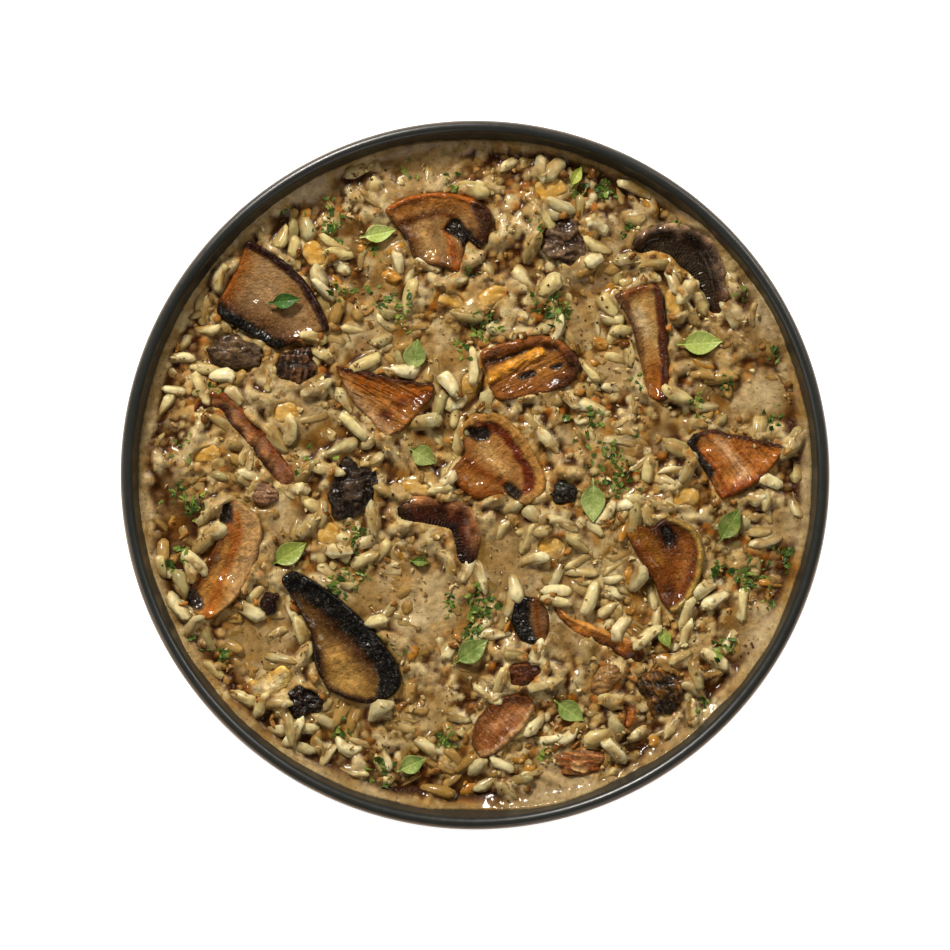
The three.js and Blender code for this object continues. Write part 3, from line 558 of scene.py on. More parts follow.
@dataclass
class Bowl:
    """The low round bowl, turned on a wheel: a rounded lip, a wall that leans out, a turned foot ring."""

    rim_radius: float = 100.0
    height: float = 39.0
    lip_width: float = 3.6
    wall_lean: float = math.radians(17.0)
    floor_height: float = 8.0
    floor_thickness: float = 4.6
    corner_radius: float = 22.0
    foot_radius: float = 56.0
    foot_width: float = 6.0
    foot_chamfer: float = 0.7
    hub: float = 20.0
    worn_drop: float = 1.3
    worn_width: float = 0.9
    worn_reach: float = 0.9
    around: int = 288
    arc_steps: int = 22
    wall_rows: tuple[float, ...] = (0.25, 0.5, 0.75, 0.95)

    def corner(self) -> Triple:
        """The inner corner between floor and wall: its middle's radius and height, and its sweep."""
        sweep = math.pi / 2 - self.wall_lean
        top = self.floor_height + self.corner_radius * (1.0 - math.cos(sweep))
        middle = self.wall_radius(top) - self.corner_radius * math.sin(sweep)
        return middle, self.floor_height + self.corner_radius, sweep

    def wall_radius(self, z: float | Array) -> float | Array:
        """The radius of the inner wall at a height above its corner."""
        drop = self.height - self.lip_width / 2 - z
        return self.rim_radius - self.lip_width - drop * math.tan(self.wall_lean)

    def profile(self) -> Array:
        """The profile, radius and height: out under the foot, up outside, over the lip and down inside."""
        radius, height, sweep = self.corner()
        down = -math.pi / 2
        angles = np.linspace(down, down + sweep, self.arc_steps)
        wall = self.lip_width * math.cos(self.wall_lean)
        thick = self.floor_thickness + (wall - self.floor_thickness) * (angles - down) / sweep
        under = self.floor_height - self.floor_thickness
        foot, inner_foot, chamfer = self.foot_radius, self.foot_radius - self.foot_width, self.foot_chamfer
        base = [(self.hub, under), (inner_foot, under), (inner_foot + chamfer, 0.0), (foot - chamfer, 0.0),
                (foot, chamfer), (foot + chamfer, under)]
        outer = arc((radius, height), self.corner_radius + thick, angles)
        inner = arc((radius, height), self.corner_radius, angles)[::-1]
        lip_radius = self.lip_width / 2
        lip = arc((self.rim_radius - lip_radius, self.height - lip_radius), lip_radius,
                  np.linspace(0.0, math.pi, self.arc_steps))
        rise = np.array(self.wall_rows)[:, None]
        outside = outer[-1] + (lip[0] - outer[-1]) * rise
        inside = lip[-1] + (inner[0] - lip[-1]) * rise
        return np.concatenate([base, outer, outside, lip, inside, inner, [(self.hub, self.floor_height)]])

    def build(self, finish: StonewareGlaze) -> bpy.types.Object:
        """Turns the profile about the upright axis: (r cos a, r sin a, z) for the angles a of a full turn.

        The glaze is worn thin in a line just under the top of the lip, most on the eater's side.
        """
        angle = full_turn(self.around)
        r, z = self.profile().T[..., None]
        rings = np.stack([r * np.cos(angle), r * np.sin(angle), z + 0 * angle], axis=-1)
        points, faces = closed_rings(rings)
        from_line = (z - self.height + self.worn_drop) / self.worn_width
        on_lip = np.exp(-(from_line**2)) * (r > self.rim_radius - self.worn_reach)
        nearer = 0.25 + 0.75 * smoothstep(0.2, -0.6, np.sin(angle))
        thin = on_lip * (0.7 + 0.5 * noise(rings, 9.0, 5, 2)) * nearer
        made = make_object("bowl_glazed", points, faces, finish.material(),
                           {"thin": with_poles(np.clip(thin, 0, 1))})
        return place(made, "bowl", "bowl")


# ---- The toppings ----------------------------------------------------------

SEAT_GAP = 0.3
STOCK_STAIN_AND_SHADE = "#2c1a0b"
# Pale specks on slices: partly flecks on the flesh, partly painted glints.
FLECK_AND_GLINT = "#d8bc8c"
# Below these heights a topping is darkened, partly wet with stock and partly painted shade at its foot, up
# to the given share.
WET_SHADE_BELOW, DRY_UNSHADED_ABOVE, WET_SHADE_SHARE = 30.4, 31.9, 0.6
GILL_SPACING = 0.95


def wet_and_shaded(tint: Array, height: Array, patches: Array) -> Array:
    """Darkens tints low on a topping, partly as stock it dips in and partly as painted shade at its foot, by
    the height of each point, with an uneven edge.
    """
    share = WET_SHADE_SHARE * smoothstep(DRY_UNSHADED_ABOVE, WET_SHADE_BELOW, height + 0.5 * patches)
    return np.clip(mixed(tint, shade(STOCK_STAIN_AND_SHADE), share), 0.0, 1.0)


@dataclass
class Topping:
    """A piece that lies on the heap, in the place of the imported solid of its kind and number."""

    kind: ClassVar[str]
    state: ClassVar[str]
    number: int

    @property
    def name(self) -> str:
        """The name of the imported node."""
        return f"{self.kind}_{self.number}"

    def finish(self, rings: Array, tint: Array, material: bpy.types.Material) -> bpy.types.Object:
        """Makes the piece of closed rings and the tints of their points, and lays it in its place."""
        skin, faces = closed_rings(rings)
        made = make_object(f"{self.name}_{self.state}", skin, faces, material, {"tint": with_poles(tint)})
        return place(made, self.kind, self.name)


class Zone(Enum):
    """What a part of a mushroom's surface is."""

    STAIN = "stain"
    SKIN = "skin"
    GILLS = "gills"
    CHAR = "char"


@dataclass(frozen=True)
class Band:
    """A stretch of skin, gills, char or stain on a slice.

    It runs along a line across the face, or along the outline between two corners.
    """

    zone: Zone
    colour: str
    width: float
    line: tuple[Pair, ...] = ()
    sides: Pair | None = None
    raised: float = 0.0
    strength: float = 0.92


@dataclass
class Slice(Topping):
    """A slice or torn piece of mushroom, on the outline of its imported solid."""

    kind: ClassVar[str] = "mushroom_slice"
    state: ClassVar[str] = "browned"
    corners: tuple[Triple, ...]
    hub: Pair
    flesh: str
    browned: str
    bands: tuple[Band, ...] = ()
    thickness: float = 4.7
    fibre_heading: float = 0.0
    fibre_depth: float = 0.05
    ragged: float = 0.45
    seat: float = 28.3
    edge_inset: float = 1.1
    around: int = 230
    edge_rings: int = 11
    face_rings: int = 37
    innermost: float = 0.985

    def outline(self) -> tuple[Array, Array]:
        """The outline, anticlockwise from above, a little torn, and each point's place between corners."""
        points, where = arc_outline(self.corners, self.around)
        points, where = round_corners(points, 3)[::-1], where[::-1]
        away = points - np.asarray(self.hub)
        away /= np.linalg.norm(away, axis=1, keepdims=True)
        torn = self.ragged * (flat_noise(*points.T, 4.5, 40 + self.number, 4) - 0.2)
        return points + away * torn[:, None], where

    def footprint(self) -> Array:
        """The outline as a polygon."""
        return self.outline()[0]

    def grid(self) -> tuple[Array, Array, Array]:
        """The skin before its relief: an edge rounded as half an oval, then rings that shrink to the hub.

        Returns:
            The points as (ring, around, xyz), the distance in from the outline, and 1 on the face only.
        """
        outline, _ = self.outline()
        to_hub = np.asarray(self.hub) - outline
        reach = np.linalg.norm(to_hub, axis=1)
        angle = np.linspace(-math.pi / 2, math.pi / 2, self.edge_rings)
        inset = self.edge_inset * (1.0 - np.cos(angle)) ** 1.2
        edge_share = np.minimum(inset[:, None] / reach, 0.6)
        steps = np.linspace(0.0, 1.0, self.face_rings + 2)[1:-1, None]
        share = np.concatenate([edge_share, edge_share[-1] + (self.innermost - edge_share[-1]) * steps])
        up = np.append(0.5 + 0.5 * np.sin(angle), np.ones(len(steps)))[:, None] + 0 * share
        z = self.seat + SEAT_GAP + self.thickness * up
        points = np.concatenate([outline + to_hub * share[..., None], z[..., None]], axis=-1)
        return points, share * reach, smoothstep(0.45, 0.95, up)

    def band_line(self, band: Band) -> Array:
        """The line that a band runs along: a stretch of the outline, or its own points joined smoothly."""
        if band.sides is None:
            line = np.asarray(band.line)
            return smooth_line(line, 30) if len(line) > 2 else np.concatenate([line, line[-1:] + 1e-3])
        points, where = self.outline()
        past = (where - band.sides[0]) % len(self.corners)
        order = np.argsort(past)
        return points[order][past[order] <= band.sides[1] - band.sides[0]][::2]

    def band_mask(self, band: Band, points: Array) -> tuple[Array, Array]:
        """How strongly a band covers each point, from 0 to 1, and how far along the band the point lies."""
        away, along = line_place(self.band_line(band), points[..., 0], points[..., 1])
        reach = band.width if band.sides is not None else band.width / 2
        torn = noise(points, 2.4, 60 + self.number, 4) * min(0.2 * band.width + 0.25, 1.1)
        if band.zone is Zone.STAIN:
            mask = np.exp(-((np.maximum(away + torn, 0.0) / (reach * 0.85)) ** 2))
        else:
            soft = 0.35 + 0.12 * band.width
            mask = smoothstep(reach + soft, reach - soft, away + torn)
        return mask * band.strength, along

    def build(self, material: bpy.types.Material) -> bpy.types.Object:
        """Builds the slice: a face that sags and swells, with fibres, and each band's relief and tint."""
        points, inwards, face = self.grid()
        x, y, z = np.moveaxis(points, -1, 0)
        seed = 100 * self.number
        along, across = turned(x, y, -math.radians(self.fibre_heading))
        bent = across + 0.8 * flat_noise(x, y, 8.0, seed + 6)
        fibres = noise(np.stack([along / 7.0, bent / 0.8, z / 4.0], axis=-1), 1.0, seed + 1, 3)
        swells, lumps = noise(points, 6.5, seed + 5, 2), noise(points, 2.8, seed + 2, 3)
        pits = noise(points, 0.9, seed + 3, 2)
        height = face * (self.fibre_depth * 3.0 * fibres + 0.9 * swells + 0.4 * lumps + 0.14 * pits
                         - 0.7 * smoothstep(0.6, 5.0, inwards) - 0.1)
        browned = shade(self.browned)
        tint = mixed(shade(self.flesh), browned, 0.6 * np.clip(0.4 + 0.8 * swells + 0.5 * lumps, 0.0, 1.0))
        tint = mixed(tint, 0.8 * browned, 0.8 * smoothstep(2.6, 0.0, inwards + 1.2 * lumps))
        tint *= 1.0 + 0.1 * fibres[..., None]
        for band in self.bands:
            mask, run = self.band_mask(band, points)
            relief = 0.0
            if band.zone is Zone.GILLS:
                relief = 0.25 * face * (np.sin(2 * math.pi * run / GILL_SPACING + 2.0 * pits) + lumps - 1.0)
            elif band.zone is Zone.CHAR:
                relief = 0.6 * noise(points, 1.3, seed + 4, 3)
            elif band.zone is Zone.SKIN:
                relief = 0.25 * face
            height += mask * (relief + band.raised)
            own = shade(band.colour) * (1.0 + 0.22 * pits + 0.16 * lumps)[..., None]
            tint = mixed(tint, own, mask)
        # Pale specks: partly flecks on the flesh, partly painted glints.
        tint = mixed(tint, shade(FLECK_AND_GLINT), 0.2 * smoothstep(0.62, 0.74, noise(points, 0.75, seed + 8)))
        points[..., 2] += height
        return self.finish(points, wet_and_shaded(tint, points[..., 2], lumps), material)


@dataclass
class Strip(Topping):
    """A curled strip of mushroom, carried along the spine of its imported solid."""

    kind: ClassVar[str] = "mushroom_strip"
    state: ClassVar[str] = "browned"
    spine: tuple[Pair, ...]
    widths: Triple
    left: str
    middle: str
    right: str
    start: str
    end: str
    ridges: float = 0.0
    hollow: float = 0.0
    rim: float = 0.0
    slope: float = 0.22
    seat: float = 28.6
    thickness: float = 4.2
    squareness: float = 0.8
    start_until: float = 0.22
    end_from: float = 0.74
    stations: int = 110
    around: int = 40

    def frame_line(self) -> tuple[Array, Array, Array, Array]:
        """The spine's points, the direction to its left, the half width along it, and u from 0 to 1."""
        line = smooth_line(self.spine, self.stations)
        along = np.gradient(line, axis=0)
        along /= np.linalg.norm(along, axis=1, keepdims=True)
        u = np.linspace(0.0, 1.0, self.stations)
        half = np.interp(u, [0.0, 0.5, 1.0], self.widths) / 2
        blunt = (1.0 - np.abs(2 * u - 1) ** 9) ** 0.5
        return line, np.stack([-along[:, 1], along[:, 0]], axis=-1), half * np.maximum(blunt, 0.03), u

    def footprint(self) -> Array:
        """The edges of the strip as a polygon."""
        line, left, half, _ = self.frame_line()
        return np.concatenate([line + left * half[:, None], (line - left * half[:, None])[::-1]])[::3]

    def build(self, material: bpy.types.Material) -> bpy.types.Object:
        """Builds the strip: a section carried along the spine, high on its left and low on its right.

        The section is (half cos a |cos a|^-0.2, thickness (1 + sin a |sin a|^-0.2) / 2), less slope where it
        turns right. Its width swells and shrinks by noise, and its ends are blunt. A cap's rim is hollow on
        its right.
        """
        line, left, half, u = self.frame_line()
        seed = 500 + 20 * self.number
        half = half * (1.12 + 0.35 * flat_noise(*line.T, 4.5, seed + 2, 3))
        angle = full_turn(self.around)
        side, rise = (np.sign(v) * np.abs(v) ** self.squareness for v in (np.cos(angle), np.sin(angle)))
        up = 0.5 + 0.5 * rise
        flat = line[:, None] - left[:, None] * (half[:, None] * side)[..., None]
        tall = self.thickness * (0.6 + 0.4 * np.minimum(1.0, half / half.max() * 1.6))[:, None]
        z = self.seat + SEAT_GAP + tall * up * (1.0 - self.slope * (0.5 + 0.5 * side))
        z = z - self.hollow * up * smoothstep(-0.55, -0.05, side)
        points = np.concatenate([flat, z[..., None]], axis=-1)
        lumps, pits = noise(points, 3.2, seed, 3), noise(points, 0.9, seed + 1, 2)
        length = np.linalg.norm(np.diff(line, axis=0), axis=1).sum()
        ripple = np.sin(2 * math.pi * u * length + 1.5)[:, None] * (0.5 + 0.5 * up)
        push = 0.5 * lumps + 0.12 * pits
        points[..., 2] += push * up + self.ridges * ripple * smoothstep(-0.1, 0.8, side)
        points[..., :2] -= left[:, None] * (push * 0.9 * side)[..., None]
        across = np.clip(1.3 * (np.clip(-side - self.rim, -1, 1) + 0.5 * lumps), -1, 1)
        edges = np.where(across[..., None] > 0, shade(self.left), shade(self.right))
        tint = mixed(shade(self.middle), edges, np.abs(across))
        run = u[:, None] + 0.08 * lumps
        tint = mixed(tint, shade(self.start), smoothstep(self.start_until, 0.0, run))
        tint = mixed(tint, shade(self.end), smoothstep(self.end_from, 1.0, run))
        tint = tint * (1.0 + 0.3 * lumps + 0.2 * pits)[..., None]
        return self.finish(points, wet_and_shaded(tint, points[..., 2], lumps), material)


@dataclass
class Lump(Topping):
    """A charred or torn lump of mushroom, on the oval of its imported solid."""

    kind: ClassVar[str] = "mushroom_chunk"
    state: ClassVar[str] = "cooked"
    first_seed: ClassVar[int] = 914
    at: Pair
    size: Pair
    heading: float
    base: str
    tip_highlight: str
    rough: float = 0.8
    ridges: float = 0.0
    ridge_heading: float = 0.0
    ridge_spacing: float = 1.9
    dome: float = 0.62
    uneven: float = 0.09
    waves: tuple[tuple[float, int, int], ...] = ((1.0, 3, 1), (0.7, 5, 2), (0.4, 8, 3))
    squareness: float = 2.6
    seat: float = 28.2
    thickness: float = 4.9
    around: int = 84
    rings: int = 44

    def footprint(self) -> Array:
        """A squarish oval as a polygon."""
        return self.oval(full_turn(36))

    def oval(self, angle: Array) -> Array:
        """Points of the squarish oval |x|^2.6 + |y|^2.6 = 1, made uneven by waves, stretched and turned."""
        c, s = np.cos(angle), np.sin(angle)
        r = (np.abs(c) ** self.squareness + np.abs(s) ** self.squareness) ** (-1 / self.squareness)
        phase = 2.4 * self.number
        waves = sum(share * np.sin(turns * angle + step * phase) for share, turns, step in self.waves)
        r = r * (0.97 + self.uneven * waves)
        x, y = self.size[0] / 2 * r * c, self.size[1] / 2 * r * s
        return np.stack(turned(x, y, math.radians(self.heading)), axis=-1) + self.at

    def build(self, material: bpy.types.Material) -> bpy.types.Object:
        """Builds the lump: rings of the oval that swell and close as cos(b)^dome, pushed out by noise, with
        a painted highlight on its raised tips and ridge crests.
        """
        rise = np.linspace(-0.49, 0.49, self.rings)[:, None] * math.pi
        swell, up = np.cos(rise) ** self.dome, 0.5 + 0.5 * np.sin(rise)
        flat = (self.oval(full_turn(self.around)) - self.at) * swell[..., None]
        z = self.seat + SEAT_GAP + self.thickness * up + 0 * flat[..., 0]
        points = np.concatenate([flat + np.asarray(self.at), z[..., None]], axis=-1)
        seed = self.first_seed + 30 * self.number
        lumps, crumbs = noise(points, 4.2, seed, 2), noise(points, (2.4, 1.2, 1.6), seed + 1, 3)
        _, across = turned(points[..., 0], points[..., 1], -math.radians(self.ridge_heading))
        wave = math.pi * (across + 1.1 * lumps + 0.3 * crumbs) / self.ridge_spacing
        ridge = 1.0 - 2.0 * np.abs(np.sin(wave))
        push = self.rough * (0.8 * lumps + 0.75 * crumbs) + self.ridges * ridge * (0.6 + lumps)
        away = flat / np.maximum(np.linalg.norm(flat, axis=-1, keepdims=True), 0.5)
        outward = np.concatenate([away, (2 * up - 0.6)[..., None] + 0 * away[..., :1]], axis=-1)
        points += outward * (push * smoothstep(0.0, 0.35, up))[..., None]
        # Painted highlight: the tips raised by the same noise take the highlight colour.
        tint = mixed(shade(self.base), shade(self.tip_highlight), 0.35 + 0.8 * crumbs + 0.5 * lumps)
        # Painted highlight and shade: ridge crests lighter, grooves darker.
        tint = tint * (1.0 + 0.25 * ridge * (self.ridges > 0))[..., None]
        return self.finish(points, wet_and_shaded(tint, points[..., 2], lumps), material)


@dataclass
class Onion(Lump):
    """A piece of onion softened in butter: lower, rounder and smoother than a lump of mushroom."""

    kind: ClassVar[str] = "onion"
    first_seed: ClassVar[int] = 905
    base: str = "#c4933c"
    tip_highlight: str = "#d0b074"
    rough: float = 0.3
    dome: float = 0.85
    uneven: float = 0.04
    seat: float = 29.3
    thickness: float = 2.9
    around: int = 48
    rings: int = 24


@dataclass
class Leaf(Topping):
    """A small herb leaf: a thin blade folded along its rib and waved along its length."""

    kind: ClassVar[str] = "leaf"
    state: ClassVar[str] = "fresh"
    at: Pair
    size: Pair
    heading: float
    light: str
    dark: str
    level: float = 31.4
    thickness: float = 0.5
    fold: float = 0.9
    wave: float = 0.3
    stalk: float = 0.14
    stalk_width: float = 0.6
    rib_width: float = 0.22
    vein_count: float = 5.0
    vein_width: float = 0.11
    stations: int = 56
    across: int = 26

    def half_width(self, u: Array) -> Array:
        """Half the blade's width: sin(pi t^0.8) of it at t along the blade, and the stalk's before that."""
        t = np.clip((u - self.stalk) / (1.0 - self.stalk), 0.0, 1.0)
        return np.maximum(self.stalk_width / 2, self.size[1] / 2 * np.sin(math.pi * t**0.8))

    def laid(self, x: Array, y: Array) -> tuple[Array, Array]:
        """Turns points of the leaf to its heading and moves them to its place."""
        x, y = turned(x, y, math.radians(self.heading))
        return x + self.at[0], y + self.at[1]

    def footprint(self) -> Array:
        """The edge of the blade as a polygon."""
        u = np.linspace(0.0, 1.0, 16)
        x, half = self.size[0] * (u - 0.5), self.half_width(u)
        return np.stack(self.laid(np.append(x, x[::-1]), np.append(-half, half[::-1])), axis=-1)

    def build(self, material: bpy.types.Material) -> bpy.types.Object:
        """Builds the blade, as high as wave (1 + sin(2 pi u + p)) + fold v^2 sin(pi u), with sunk veins."""
        u = np.linspace(0.0, 1.0, self.stations)[:, None]
        v = np.linspace(-1.0, 1.0, self.across)[None]
        half = self.half_width(u)
        x, y = self.laid(self.size[0] * (u - 0.5) + 0 * v, v * half)
        phase = 1.3 * (self.number - 1)
        lift = self.wave * (1.0 + np.sin(2 * math.pi * u + phase)) + self.fold * v**2 * np.sin(math.pi * u)
        slant = (u - self.stalk) * self.vein_count - 0.75 * np.abs(v)
        side_vein = np.exp(-(((slant - np.round(slant)) / self.vein_width) ** 2)) * (u > self.stalk)
        rib = np.exp(-((v * half / self.rib_width) ** 2))
        vein = np.maximum(rib, 0.75 * side_vein * (1.0 - np.abs(v) ** 3))
        z = self.level + lift + self.thickness
        edge = 1.0 - np.abs(v) ** 10
        over = np.stack([x, y, z - 0.08 * vein + 0.1 * (1 - vein) * edge], axis=-1)
        under = np.stack([x, y, z - self.thickness * (0.3 + 0.7 * edge)], axis=-1)
        rings = np.concatenate([over, under[:, ::-1]], axis=1)
        veins = np.concatenate([vein, vein[:, ::-1]], axis=1)
        patch = np.clip(0.5 + 0.9 * noise(rings, 2.6, 700 + self.number, 2), 0, 1)
        blade = mixed(shade(self.dark), shade(self.light), 0.25 + 0.5 * patch)
        tint = mixed(blade, np.clip(shade(self.light) * 1.18, 0.0, 1.0), 0.22 * veins)
        return self.finish(rings, np.clip(tint, 0.0, 1.0), material)


STAIN, SKIN, GILLS, CHAR = Zone

